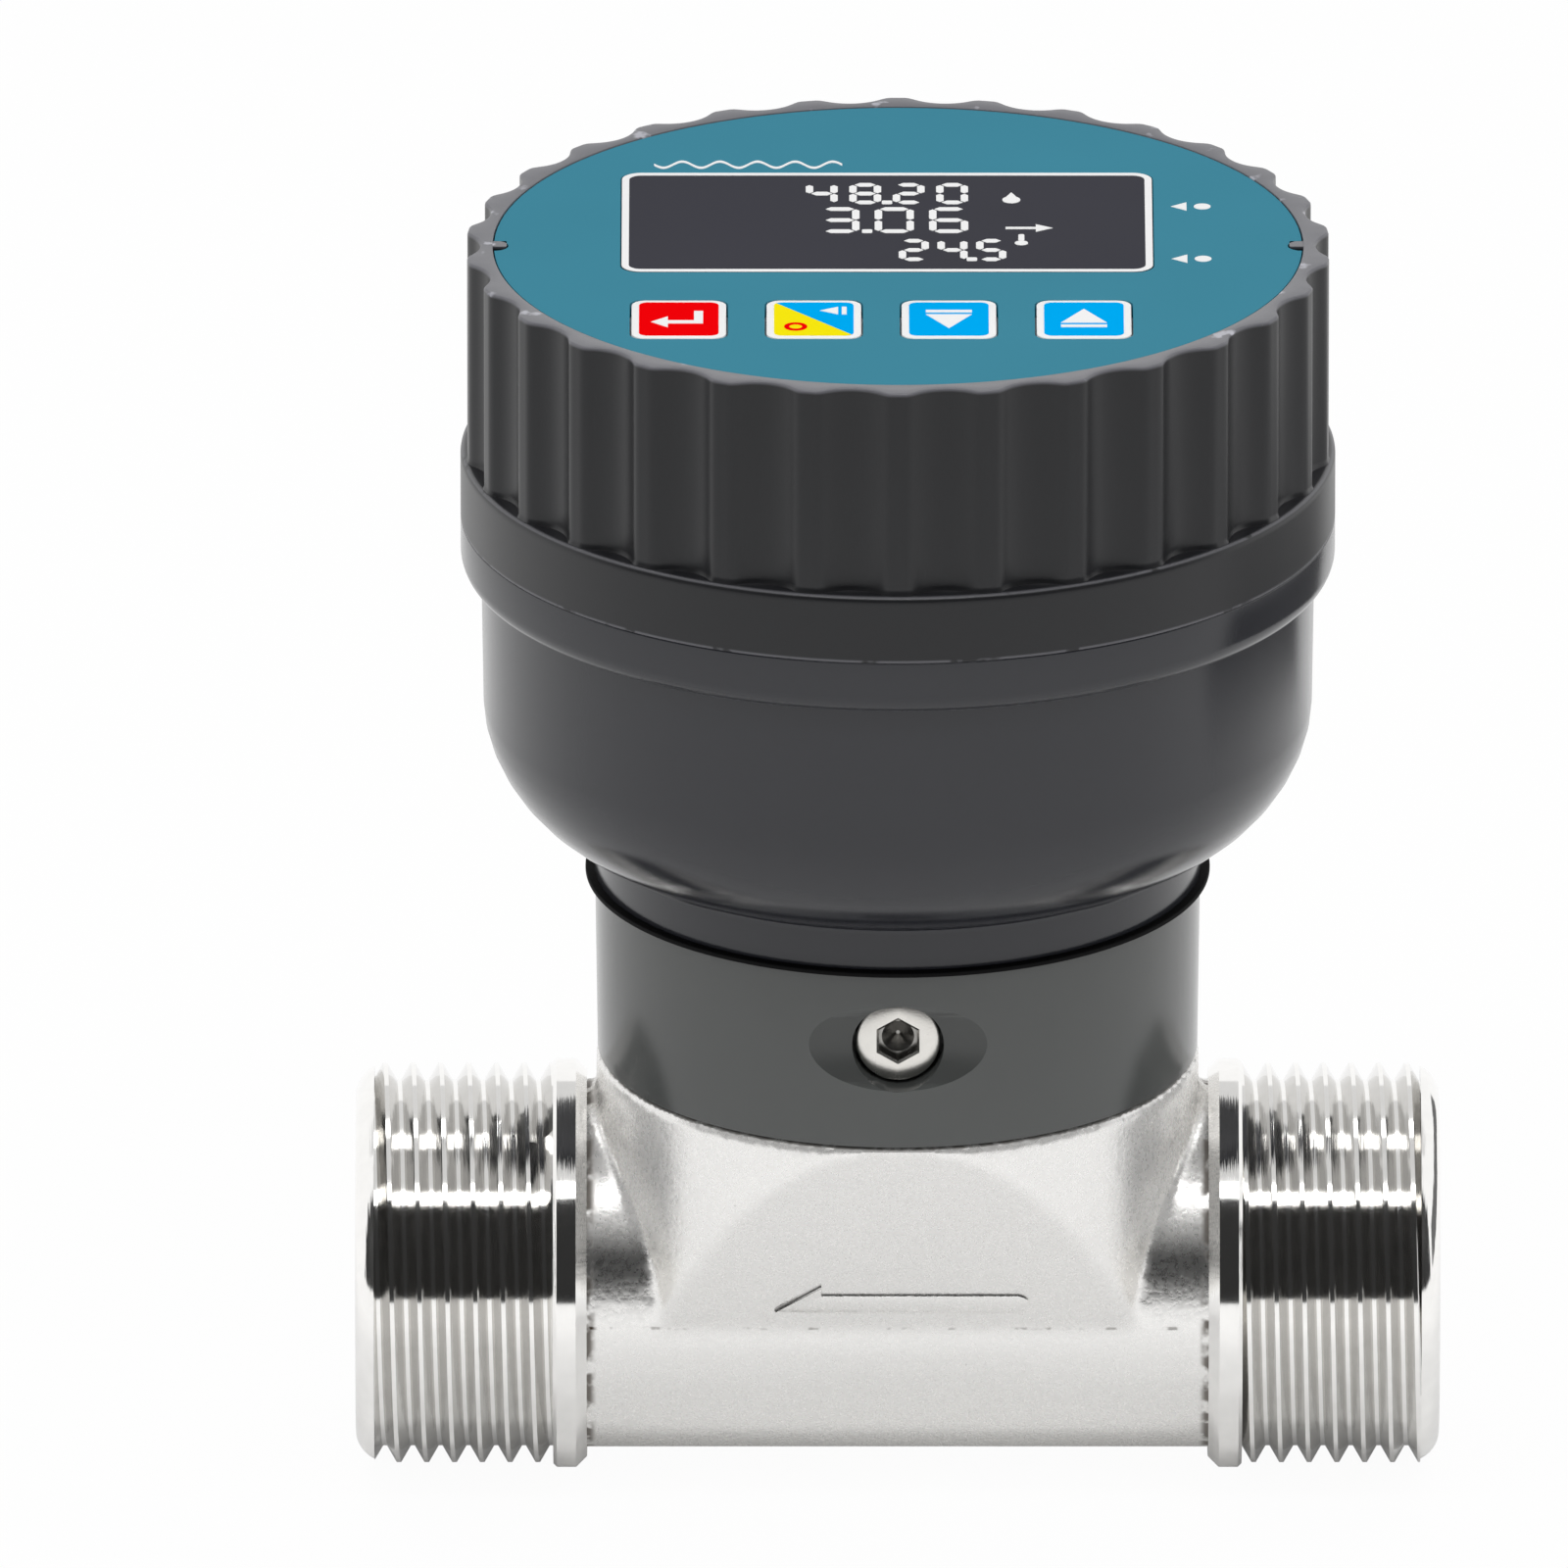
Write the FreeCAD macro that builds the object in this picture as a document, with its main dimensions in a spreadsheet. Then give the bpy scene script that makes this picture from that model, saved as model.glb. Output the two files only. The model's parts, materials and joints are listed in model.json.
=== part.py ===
import FreeCAD, Part
import math
import os
from types import SimpleNamespace

import Sketcher
from FreeCAD import Placement, Rotation, Vector

# In-line digital flow meter: a turbine in a threaded cast body, read by a display head that swivels on it.
# Lengths are millimetres. Water runs along X, from +X to -X, and the head turns about Z.
# The origin lies under the head, level with the lowest point of the two pipe shoulders.

PARTS_FOLDER = "parts"

DRIVING_SIZES = {
    # Cast body
    "body_length": 90.0,
    "thread_radius": 16.6,
    "thread_length": 16.4,
    "thread_chamfer": 1.5,
    "shoulder_radius": 17.0,
    "shoulder_width": 2.8,
    "pipe_radius": 15.3,
    "bore_radius": 12.0,
    "outlet_bore_radius": 11.0,
    "boss_radius": 25.0,
    "boss_height": 19.6,
    "spigot_radius": 16.8,
    "spigot_height": 12.4,
    "hollow_radius": 13.5,
    "hollow_depth": 10.5,
    "well_wall": 2.0,
    # Turbine cartridge in the bore
    "cartridge_fit": 0.05,
    "rotor_length": 11.0,
    "rotor_gap": 1.5,
    "rotor_hub_radius": 5.0,
    "blade_radius": 11.3,
    "blade_thickness": 1.3,
    "blade_count": 6,
    "blade_twist": 20.0,
    "blade_margin": 1.0,
    "shaft_radius": 1.5,
    "shaft_overhang": 6.5,
    "shaft_fit": 0.03,
    "bush_radius": 2.5,
    "bush_length": 5.0,
    "bush_fit": 0.02,
    "magnet_radius": 1.5,
    "magnet_depth": 2.8,
    "magnet_sunk": 0.3,
    "straightener_length": 10.0,
    "support_length": 12.0,
    "cartridge_wall": 1.3,
    "cartridge_hub_radius": 4.5,
    "nose_length": 4.0,
    "nose_tip_radius": 1.2,
    "tail_length": 2.0,
    "vane_thickness": 1.2,
    "inlet_vane_count": 6,
    "outlet_vane_count": 3,
    "ring_thickness": 1.2,
    "ring_depth": 0.7,
    "ring_width": 2.0,
    # Swivel joint and collar
    "swivel_gap": 0.1,
    "swivel_fit": 0.05,
    "o_ring_height": 3.4,
    "o_ring_section": 1.5,
    "collar_radius": 25.1,
    "collar_draft": 0.2,
    "collar_height": 15.35,
    "collar_flange": 2.8,
    "clamp_height": 8.7,
    "clamp_count": 3,
    "clamp_face": 23.0,
    "clamp_head_radius": 3.5,
    "clamp_head_height": 4.0,
    "clamp_shank_radius": 2.0,
    "clamp_socket": 3.0,
    "clamp_socket_depth": 2.0,
    "clamp_groove_depth": 1.5,
    "clamp_clearance": 0.3,
    "scoop_radius": 7.0,
    "scoop_depth": 1.2,
    "collar_screw_circle": 9.5,
    "collar_screw_radius": 1.5,
    "collar_screw_head": 2.7,
    "collar_screw_head_height": 2.0,
    "collar_screw_count": 4,
    "screw_clearance": 0.05,
    # Gasket and bell housing
    "gasket_radius": 26.0,
    "gasket_bore": 13.0,
    "gasket_thickness": 0.85,
    "neck_radius": 25.2,
    "neck_fillet": 1.8,
    "bell_radius": 34.2,
    "bell_corner": 10.0,
    "bell_corner_height": 14.4,
    "bell_draft": 0.3,
    "flange_height": 26.1,
    "flange_lip": 1.7,
    "flange_top": 30.7,
    "housing_wall": 2.7,
    "floor_thickness": 3.0,
    "head_spigot_radius": 33.0,
    "head_spigot_height": 10.8,
    "head_spigot_wall": 2.5,
    # Fluted bezel
    "bezel_height": 23.5,
    "bezel_fit": 0.3,
    "skirt_height": 5.8,
    "skirt_wall": 3.2,
    "rim_wall": 2.8,
    "crest_step": 0.45,
    "rim_round": 0.5,
    "flute_count": 30,
    "flute_depth": 1.2,
    "flute_radius": 4.0,
    "seal_section": 1.6,
    "seal_relief": 1.8,
    "seal_relief_height": 2.6,
    "seat_width": 3.2,
    "seat_thickness": 2.5,
    # Front panel and window
    "panel_radius": 33.4,
    "panel_thickness": 3.0,
    "panel_recess": 0.1,
    "panel_fit": 0.1,
    "panel_seal_thickness": 0.5,
    "panel_notch_radius": 1.2,
    "window_width": 43.9,
    "window_depth": 23.8,
    "window_corner": 1.6,
    "window_thickness": 1.4,
    "window_shift_x": -0.9,
    "window_shift_y": 5.6,
    "window_ledge": 2.0,
    "window_fit": 0.1,
    # Keys and their switches
    "key_width": 7.8,
    "key_depth": 9.1,
    "key_corner": 1.2,
    "key_fit": 0.15,
    "key_rim": 0.4,
    "key_rim_thickness": 0.8,
    "key_skin": 1.2,
    "key_proud": 0.1,
    "key_pitch": 11.13,
    "key_row_x": -1.4,
    "key_row_y": -17.7,
    "key_stem_radius": 1.4,
    "key_stem_entry": 0.6,
    "switch_width": 4.5,
    "switch_height": 3.6,
    "switch_well_depth": 2.0,
    # Display board and its fixings
    "pillar_height": 6.4,
    "pillar_radius": 2.2,
    "pillar_side_x": 23.9,
    "pillar_side_y": -9.4,
    "pillar_back_x": 9.0,
    "pillar_back_y": 24.5,
    "board_radius": 29.0,
    "board_thickness": 1.6,
    "board_screw_radius": 1.0,
    "board_screw_head": 2.0,
    "board_screw_head_height": 1.4,
    "board_screw_length": 5.5,
    "lcd_width": 44.0,
    "lcd_depth": 24.0,
    "lcd_corner": 2.0,
    "lcd_frame_wall": 1.5,
    "lcd_ledge": 1.5,
    "lcd_thickness": 3.0,
    "lcd_gap": 0.1,
    # Sensor probe and its lead
    "probe_radius": 4.5,
    "probe_well_gap": 0.3,
    "probe_tip_gap": 0.5,
    "probe_flange_radius": 6.2,
    "probe_flange_thickness": 1.9,
    "probe_fit": 0.1,
    "lead_radius": 1.2,
    "lead_shift": 8.5,
    "lead_rise": 3.5,
    "lead_slope": 8.0,
    "connector_width": 7.0,
    "connector_depth": 5.0,
    "connector_height": 4.0,
    # Battery and holder
    "battery_radius": 8.5,
    "battery_length": 34.5,
    "battery_shift": 8.0,
    "holder_lift": 8.0,
    "holder_base": 2.0,
    "holder_end": 2.0,
    "holder_end_height": 13.0,
    "holder_margin": 2.0,
    "holder_foot_radius": 2.6,
    "holder_foot_x": 12.0,
    "holder_foot_y": 6.5,
    "holder_screw_radius": 1.0,
    "holder_screw_head": 1.9,
    "holder_screw_head_height": 1.2,
    "holder_screw_bite": 2.0,
    "contact_thickness": 0.5,
    "contact_width": 9.0,
    "contact_rise": 1.0,
    "battery_gap": 0.1,
    "battery_lead_radius": 0.7,
}


class Size:
    """A length that carries its number and the sheet expression that gives it."""

    def __init__(self, number, text):
        self.number = number
        self.text = text

    def joined(self, other, sign, number):
        return Size(number, "(%s %s %s)" % (self.text, sign, as_size(other).text))

    def __add__(self, other):
        return self.joined(other, "+", self.number + as_size(other).number)

    def __radd__(self, other):
        return as_size(other) + self

    def __sub__(self, other):
        return self.joined(other, "-", self.number - as_size(other).number)

    def __rsub__(self, other):
        return as_size(other) - self

    def __mul__(self, other):
        return self.joined(other, "*", self.number * as_size(other).number)

    def __rmul__(self, other):
        return as_size(other) * self

    def __truediv__(self, other):
        return self.joined(other, "/", self.number / as_size(other).number)

    def __neg__(self):
        return 0 - self

    def root(self):
        return Size(math.sqrt(self.number), "sqrt(%s)" % self.text)


def as_size(value):
    """Wrap a plain number as a Size."""
    if isinstance(value, Size):
        return value
    return Size(float(value), "(%s)" % value)


def widest(*sizes):
    """Give the largest of several sizes."""
    return Size(max(item.number for item in sizes), "max(%s)" % "; ".join(item.text for item in sizes))


doc = FreeCAD.newDocument("flow_meter")
sheet = doc.addObject("Spreadsheet::Sheet", "Sizes")
for row, (alias, number) in enumerate(DRIVING_SIZES.items(), start=1):
    sheet.set("A%d" % row, alias)
    sheet.set("B%d" % row, str(number))
    sheet.setAlias("B%d" % row, alias)
doc.recompute()
size = SimpleNamespace(**{
    alias: Size(float(sheet.get(alias)), "Sizes.%s" % alias) for alias in DRIVING_SIZES
})

# Heights of the main levels above the origin, and places along the flow axis
axis_height = size.shoulder_radius
boss_top = axis_height + size.boss_height
collar_base = boss_top + size.swivel_gap
collar_top = collar_base + size.collar_height
housing_base = collar_top + size.gasket_thickness
bezel_base = housing_base + size.flange_top
panel_base = (bezel_base + size.bezel_height - size.panel_recess - size.panel_thickness)
board_top = panel_base - size.pillar_height
floor_top = housing_base + size.floor_thickness
# The bezel has room for the threaded spigot and the panel, and the flange for the bezel and the bell
bezel_radius = widest(size.head_spigot_radius + size.skirt_wall, size.panel_radius + size.rim_wall)
flange_radius = widest(bezel_radius, size.bell_radius + size.bell_draft + size.flange_lip)
rotor_half = size.rotor_length / 2
straightener_start = rotor_half + size.rotor_gap
straightener_end = straightener_start + size.straightener_length
support_start = -(rotor_half + size.rotor_gap)
support_end = support_start - size.support_length
pillar_spots = (
    (size.pillar_side_x, size.pillar_side_y),
    (-size.pillar_side_x, size.pillar_side_y),
    (size.pillar_back_x, size.pillar_back_y),
    (-size.pillar_back_x, size.pillar_back_y),
)

sub_parts = []


def finish_piece(thing, label, height=0, turn=None):
    """Name a sub-part, lift it to its height and list it for the hand-over."""
    thing.Label = label
    if turn is not None:
        thing.Placement = Placement(Vector(0, 0, 0), turn)
    if isinstance(height, Size):
        thing.setExpression("Placement.Base.z", height.text)
    doc.recompute()
    sub_parts.append(thing)
    return thing


def new_body(name):
    """Start an empty body."""
    return doc.addObject("PartDesign::Body", name)


def origin_item(body, role):
    """Find one of a body's own origin planes or axes."""
    return next(item for item in body.Origin.OriginFeatures if item.Role == role)


def new_sketch(body, plane, offset=None, turn=0.0):
    """Attach a sketch to one of the body's origin planes, moved along its normal and turned in it."""
    sketch = body.newObject("Sketcher::SketchObject", "Sketch")
    sketch.AttachmentSupport = [(origin_item(body, plane), "")]
    sketch.MapMode = "FlatFace"
    sketch.AttachmentOffset = Placement(Vector(0, 0, 0), Rotation(Vector(0, 0, 1), turn))
    if offset is not None:
        sketch.setExpression("AttachmentOffset.Base.z", as_size(offset).text)
    doc.recompute()
    return sketch


def fix_point(sketch, geometry, end, spot):
    """Hold a point of the sketch at its place; a plain zero means on the axis."""
    for kind, axis, place in zip(("DistanceX", "DistanceY"), (-2, -1), spot):
        if isinstance(place, Size):
            index = sketch.addConstraint(
                Sketcher.Constraint(kind, -1, 1, geometry, end, place.number))
            sketch.setExpression("Constraints[%d]" % index, place.text)
        else:
            sketch.addConstraint(Sketcher.Constraint("PointOnObject", geometry, end, axis))


def as_vector(spot):
    """Turn a pair of sizes into a vector in the sketch plane."""
    return Vector(as_size(spot[0]).number, as_size(spot[1]).number, 0)


def arc_between(start, end, radius, left):
    """Make the short arc from start to end; left tells on which side of the travel its centre lies."""
    chord = end - start
    half = chord.Length / 2
    side = Vector(-chord.y, chord.x, 0).normalize() * (1 if left else -1)
    centre = (start + end) * 0.5 + side * math.sqrt(max(radius * radius - half * half, 0.0))
    angles = [math.atan2(p.y - centre.y, p.x - centre.x) for p in (start, end)]
    first, last = angles if left else reversed(angles)
    if last < first:
        last += 2 * math.pi
    return Part.ArcOfCircle(Part.Circle(centre, Vector(0, 0, 1), radius), first, last)


def draw_outline(sketch, points, arcs=None):
    """Draw a closed outline; arcs maps the number of a segment to its radius and side."""
    arcs = arcs or {}
    count = len(points)
    pieces = []
    for index, point in enumerate(points):
        start, end = as_vector(point), as_vector(points[(index + 1) % count])
        ends = (1, 2)
        if index in arcs:
            radius, left = arcs[index]
            number = sketch.addGeometry(arc_between(start, end, radius.number, left), False)
            ends = (1, 2) if left else (2, 1)
        else:
            number = sketch.addGeometry(Part.LineSegment(start, end), False)
        pieces.append((number, ends))
    for index, (number, ends) in enumerate(pieces):
        following, next_ends = pieces[(index + 1) % count]
        sketch.addConstraint(Sketcher.Constraint("Coincident", number, ends[1], following, next_ends[0]))
    for index, (number, ends) in enumerate(pieces):
        fix_point(sketch, number, ends[0], points[index])
        if index in arcs:
            radius = arcs[index][0]
            constraint = sketch.addConstraint(Sketcher.Constraint("Radius", number, radius.number))
            sketch.setExpression("Constraints[%d]" % constraint, radius.text)


def draw_circle(sketch, radius, x=0, y=0):
    """Draw a circle about a point of the sketch."""
    circle = Part.Circle(as_vector((x, y)), Vector(0, 0, 1), radius.number)
    number = sketch.addGeometry(circle, False)
    constraint = sketch.addConstraint(Sketcher.Constraint("Radius", number, radius.number))
    sketch.setExpression("Constraints[%d]" % constraint, radius.text)
    fix_point(sketch, number, 3, (x, y))


def draw_box(sketch, left, low, right, high):
    """Draw a rectangle by its two corners."""
    draw_outline(sketch, [(left, low), (right, low), (right, high), (left, high)])


def draw_round_box(sketch, x, y, width, depth, corner):
    """Draw a rectangle with round corners about a centre."""
    left, right = x - width / 2, x + width / 2
    low, high = y - depth / 2, y + depth / 2
    points = [
        (left + corner, low), (right - corner, low), (right, low + corner), (right, high - corner),
        (right - corner, high), (left + corner, high), (left, high - corner), (left, low + corner),
    ]
    draw_outline(sketch, points, {index: (corner, True) for index in (1, 3, 5, 7)})


def draw_regular(sketch, across, sides, y=0):
    """Draw a regular polygon by its size across flats, with a point up, about the vertical axis."""
    reach = across / (2 * math.cos(math.pi / sides))
    turns = [math.pi * (0.5 + 2 * index / sides) for index in range(sides)]
    points = [(reach * math.cos(turn), y + reach * math.sin(turn)) for turn in turns]
    draw_outline(sketch, points)


def add_feature(body, kind, sketch, **settings):
    """Add a feature made from a sketch; a Size setting is bound to the sheet."""
    feature = body.newObject("PartDesign::" + kind, kind)
    feature.Profile = sketch
    for name, value in settings.items():
        if isinstance(value, Size):
            feature.setExpression(name, value.text)
        else:
            setattr(feature, name, value)
    before = 0.0 if body.Shape.isNull() else body.Shape.Volume
    body.Tip = feature
    doc.recompute()
    removes = kind in ("Pocket", "Groove")
    if removes and not body.Shape.Volume < before:
        raise RuntimeError("%s in %s removed nothing" % (kind, body.Name))
    return feature


def revolve(body, sketch, axis, kind="Revolution"):
    """Turn a sketch a full circle about its own horizontal or vertical axis."""
    return add_feature(body, kind, sketch, ReferenceAxis=(sketch, [axis]), Angle=360.0)


def repeat_round(body, features, axis, count):
    """Repeat features evenly round one of the body's axes."""
    pattern = body.newObject("PartDesign::PolarPattern", "PolarPattern")
    pattern.Originals = features
    pattern.Axis = (origin_item(body, axis), [""])
    pattern.Angle = 360.0
    pattern.setExpression("Occurrences", as_size(count).text)
    body.Tip = pattern
    doc.recompute()
    return pattern


def ring_body(name, outer, inner, thickness):
    """Make a flat ring that stands on the XY plane."""
    body = new_body(name)
    sketch = new_sketch(body, "XZ_Plane")
    draw_box(sketch, inner, 0, outer, thickness)
    revolve(body, sketch, "V_Axis")
    return body


def round_seal(name, section, inner_radius, lift):
    """Make an O-ring that hugs a cylinder."""
    seal = doc.addObject("Part::Torus", name)
    seal.setExpression("Radius1", (inner_radius + section / 2).text)
    seal.setExpression("Radius2", (section / 2).text)
    return finish_piece(seal, name, lift)


def make_flow_body():
    """Cast tee: threaded pipe, boss with two sloped flats, swivel spigot, bore, hollow and sensor well."""
    body = new_body("flow_body")
    half = size.body_length / 2
    shoulder_out = half - size.thread_length
    shoulder_in = shoulder_out - size.shoulder_width
    side = [
        (half, size.thread_radius - size.thread_chamfer),
        (half - size.thread_chamfer, size.thread_radius),
        (shoulder_out, size.thread_radius),
        (shoulder_out, size.shoulder_radius),
        (shoulder_in, size.shoulder_radius),
        (shoulder_in, size.pipe_radius),
    ]
    pipe = new_sketch(body, "XZ_Plane")
    mirrored = [(-x, radius) for x, radius in reversed(side)]
    draw_outline(pipe, [(half, 0)] + side + mirrored + [(-half, 0)])
    revolve(body, pipe, "H_Axis")

    boss = new_sketch(body, "XY_Plane")
    draw_circle(boss, size.boss_radius)
    add_feature(body, "Pad", boss, Length=size.boss_height)

    flats = new_sketch(body, "YZ_Plane", -size.boss_radius)
    outside = size.boss_radius * 2
    for sign in (1, -1):
        corners = [
            (size.pipe_radius * sign, 0),
            (size.boss_radius * sign, size.boss_height),
            (outside * sign, size.boss_height),
            (outside * sign, 0),
        ]
        draw_outline(flats, corners)
    add_feature(body, "Pocket", flats, Length=outside, Reversed=True)

    spigot_top = size.boss_height + size.spigot_height
    spigot = new_sketch(body, "XY_Plane", size.boss_height)
    draw_circle(spigot, size.spigot_radius)
    add_feature(body, "Pad", spigot, Length=size.spigot_height)

    grooves = new_sketch(body, "XZ_Plane")
    seal_height = size.boss_height + size.o_ring_height
    seal_half = size.o_ring_section * 0.6
    clamp_height = size.boss_height + size.swivel_gap + size.clamp_height
    clamp_half = size.clamp_shank_radius + size.clamp_clearance
    rows = (
        (seal_height, seal_half, size.o_ring_section),
        (clamp_height, clamp_half, size.clamp_groove_depth),
    )
    for height, half_width, depth in rows:
        draw_box(grooves, size.spigot_radius - depth, height - half_width,
                 size.spigot_radius + depth, height + half_width)
    revolve(body, grooves, "V_Axis", "Groove")

    hollow = new_sketch(body, "XY_Plane", spigot_top)
    draw_circle(hollow, size.hollow_radius)
    add_feature(body, "Pocket", hollow, Length=size.hollow_depth)

    hollow_floor = spigot_top - size.hollow_depth
    well = new_sketch(body, "XY_Plane", hollow_floor)
    draw_circle(well, size.probe_radius + size.probe_well_gap)
    add_feature(body, "Pocket", well, Length=hollow_floor - size.bore_radius - size.well_wall)

    bore = new_sketch(body, "XZ_Plane")
    past_end = half + size.thread_chamfer
    ring_start = straightener_end
    ring_end = ring_start + size.ring_thickness + size.cartridge_fit * 2
    ring_radius = size.bore_radius + size.ring_depth
    draw_outline(bore, [
        (-past_end, 0), (-past_end, size.outlet_bore_radius),
        (support_end, size.outlet_bore_radius), (support_end, size.bore_radius),
        (ring_start, size.bore_radius), (ring_start, ring_radius),
        (ring_end, ring_radius), (ring_end, size.bore_radius),
        (past_end, size.bore_radius), (past_end, 0),
    ])
    revolve(body, bore, "H_Axis", "Groove")
    finish_piece(body, "flow_body", axis_height)


def add_vanes(body, start, length, count):
    """Join a hub to its outer ring with flat radial vanes."""
    vane = new_sketch(body, "YZ_Plane", start)
    half = size.vane_thickness / 2
    root = size.cartridge_hub_radius - half
    tip = size.bore_radius - size.cartridge_wall + half
    draw_box(vane, -half, root, half, tip)
    blade = add_feature(body, "Pad", vane, Length=length)
    repeat_round(body, [blade], "X_Axis", count)


def cartridge_rings(body, start, end, hub_outline, hub_arcs=None):
    """Revolve the outer ring of a cartridge piece together with its hub."""
    profile = new_sketch(body, "XZ_Plane")
    outer = size.bore_radius - size.cartridge_fit
    draw_box(profile, start, size.bore_radius - size.cartridge_wall, end, outer)
    draw_outline(profile, hub_outline, hub_arcs)
    revolve(body, profile, "H_Axis")


def make_straightener():
    """Inlet flow straightener: ring, six vanes and a hub with a round nose and a bearing pocket."""
    body = new_body("inlet_flow_straightener")
    pocket_radius = size.bush_radius + size.bush_fit
    pocket_end = straightener_start + size.bush_length + size.shaft_radius / 2
    nose_end = straightener_end + size.nose_length
    hub = [
        (straightener_start, pocket_radius), (straightener_start, size.cartridge_hub_radius),
        (straightener_end, size.cartridge_hub_radius), (nose_end, size.nose_tip_radius),
        (nose_end, 0), (pocket_end, 0), (pocket_end, pocket_radius),
    ]
    bulge = size.nose_length * 1.5
    cartridge_rings(body, straightener_start, straightener_end, hub, {2: (bulge, False)})
    add_vanes(body, straightener_start, size.straightener_length, size.inlet_vane_count)
    finish_piece(body, "inlet_flow_straightener", axis_height)


def make_bearing_support():
    """Outlet bearing support: ring, three vanes and a hub with a short tail and a bearing pocket."""
    body = new_body("outlet_bearing_support")
    pocket_radius = size.bush_radius + size.bush_fit
    pocket_end = support_start - size.bush_length - size.shaft_radius / 2
    tail_end = support_end - size.tail_length
    hub = [
        (support_start, pocket_radius), (pocket_end, pocket_radius), (pocket_end, 0),
        (tail_end, 0), (tail_end, size.nose_tip_radius), (support_end, size.cartridge_hub_radius),
        (support_start, size.cartridge_hub_radius),
    ]
    cartridge_rings(body, support_end, support_start, hub)
    add_vanes(body, support_end, size.support_length, size.outlet_vane_count)
    finish_piece(body, "outlet_bearing_support", axis_height)


def make_retaining_ring():
    """Ring that snaps into the bore and holds the cartridge against its step."""
    body = new_body("retaining_ring")
    profile = new_sketch(body, "XZ_Plane")
    start = straightener_end + size.cartridge_fit
    outer = size.bore_radius + size.ring_depth - size.cartridge_fit
    draw_box(profile, start, outer - size.ring_width, start + size.ring_thickness, outer)
    revolve(body, profile, "H_Axis")
    finish_piece(body, "retaining_ring", axis_height)


def make_rotor():
    """Turbine rotor: hub with six twisted blades and two radial magnet pockets."""
    body = new_body("rotor")
    hub = new_sketch(body, "XZ_Plane")
    draw_box(hub, -rotor_half, size.shaft_radius + size.bush_fit, rotor_half, size.rotor_hub_radius)
    revolve(body, hub, "H_Axis")

    between_magnets = 180.0 / size.blade_count.number
    reach = rotor_half - size.blade_margin
    half = size.blade_thickness / 2
    sections = []
    for share in (-1, 0, 1):
        turn = between_magnets + share * size.blade_twist.number
        section = new_sketch(body, "YZ_Plane", reach * share, turn)
        draw_box(section, -half, size.rotor_hub_radius - half, half, size.blade_radius)
        sections.append(section)
    blade = add_feature(body, "AdditiveLoft", sections[0], Sections=sections[1:])
    repeat_round(body, [blade], "X_Axis", size.blade_count)

    pocket = new_sketch(body, "XY_Plane", size.rotor_hub_radius - size.magnet_depth)
    draw_circle(pocket, size.magnet_radius)
    cut = add_feature(body, "Pocket", pocket, Length=size.magnet_depth * 2, Reversed=True)
    repeat_round(body, [cut], "X_Axis", 2)
    finish_piece(body, "rotor", axis_height)


def make_rotor_shaft():
    """Plain steel shaft through the rotor, turning in both bushes."""
    shaft = doc.addObject("Part::Cylinder", "rotor_shaft")
    length = (rotor_half + size.shaft_overhang) * 2
    shaft.setExpression("Radius", size.shaft_radius.text)
    shaft.setExpression("Height", length.text)
    shaft.Placement = Placement(Vector(0, 0, 0), Rotation(Vector(0, 1, 0), 90))
    shaft.setExpression("Placement.Base.x", (-length / 2).text)
    finish_piece(shaft, "rotor_shaft", axis_height)


def make_rotor_magnets():
    """Two magnets in the hub, which the sensor probe counts."""
    body = new_body("rotor_magnets")
    face = new_sketch(body, "XY_Plane", size.rotor_hub_radius - size.magnet_depth)
    draw_circle(face, size.magnet_radius - size.bush_fit)
    magnet = add_feature(body, "Pad", face, Length=size.magnet_depth - size.magnet_sunk)
    repeat_round(body, [magnet], "X_Axis", 2)
    finish_piece(body, "rotor_magnets", axis_height)


def make_rotor_bushes():
    """Two bearing bushes, one in each hub."""
    body = new_body("rotor_bushes")
    profile = new_sketch(body, "XZ_Plane")
    inner = size.shaft_radius + size.shaft_fit
    draw_box(profile, straightener_start, inner, straightener_start + size.bush_length, size.bush_radius)
    draw_box(profile, support_start - size.bush_length, inner, support_start, size.bush_radius)
    revolve(body, profile, "H_Axis")
    finish_piece(body, "rotor_bushes", axis_height)


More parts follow.
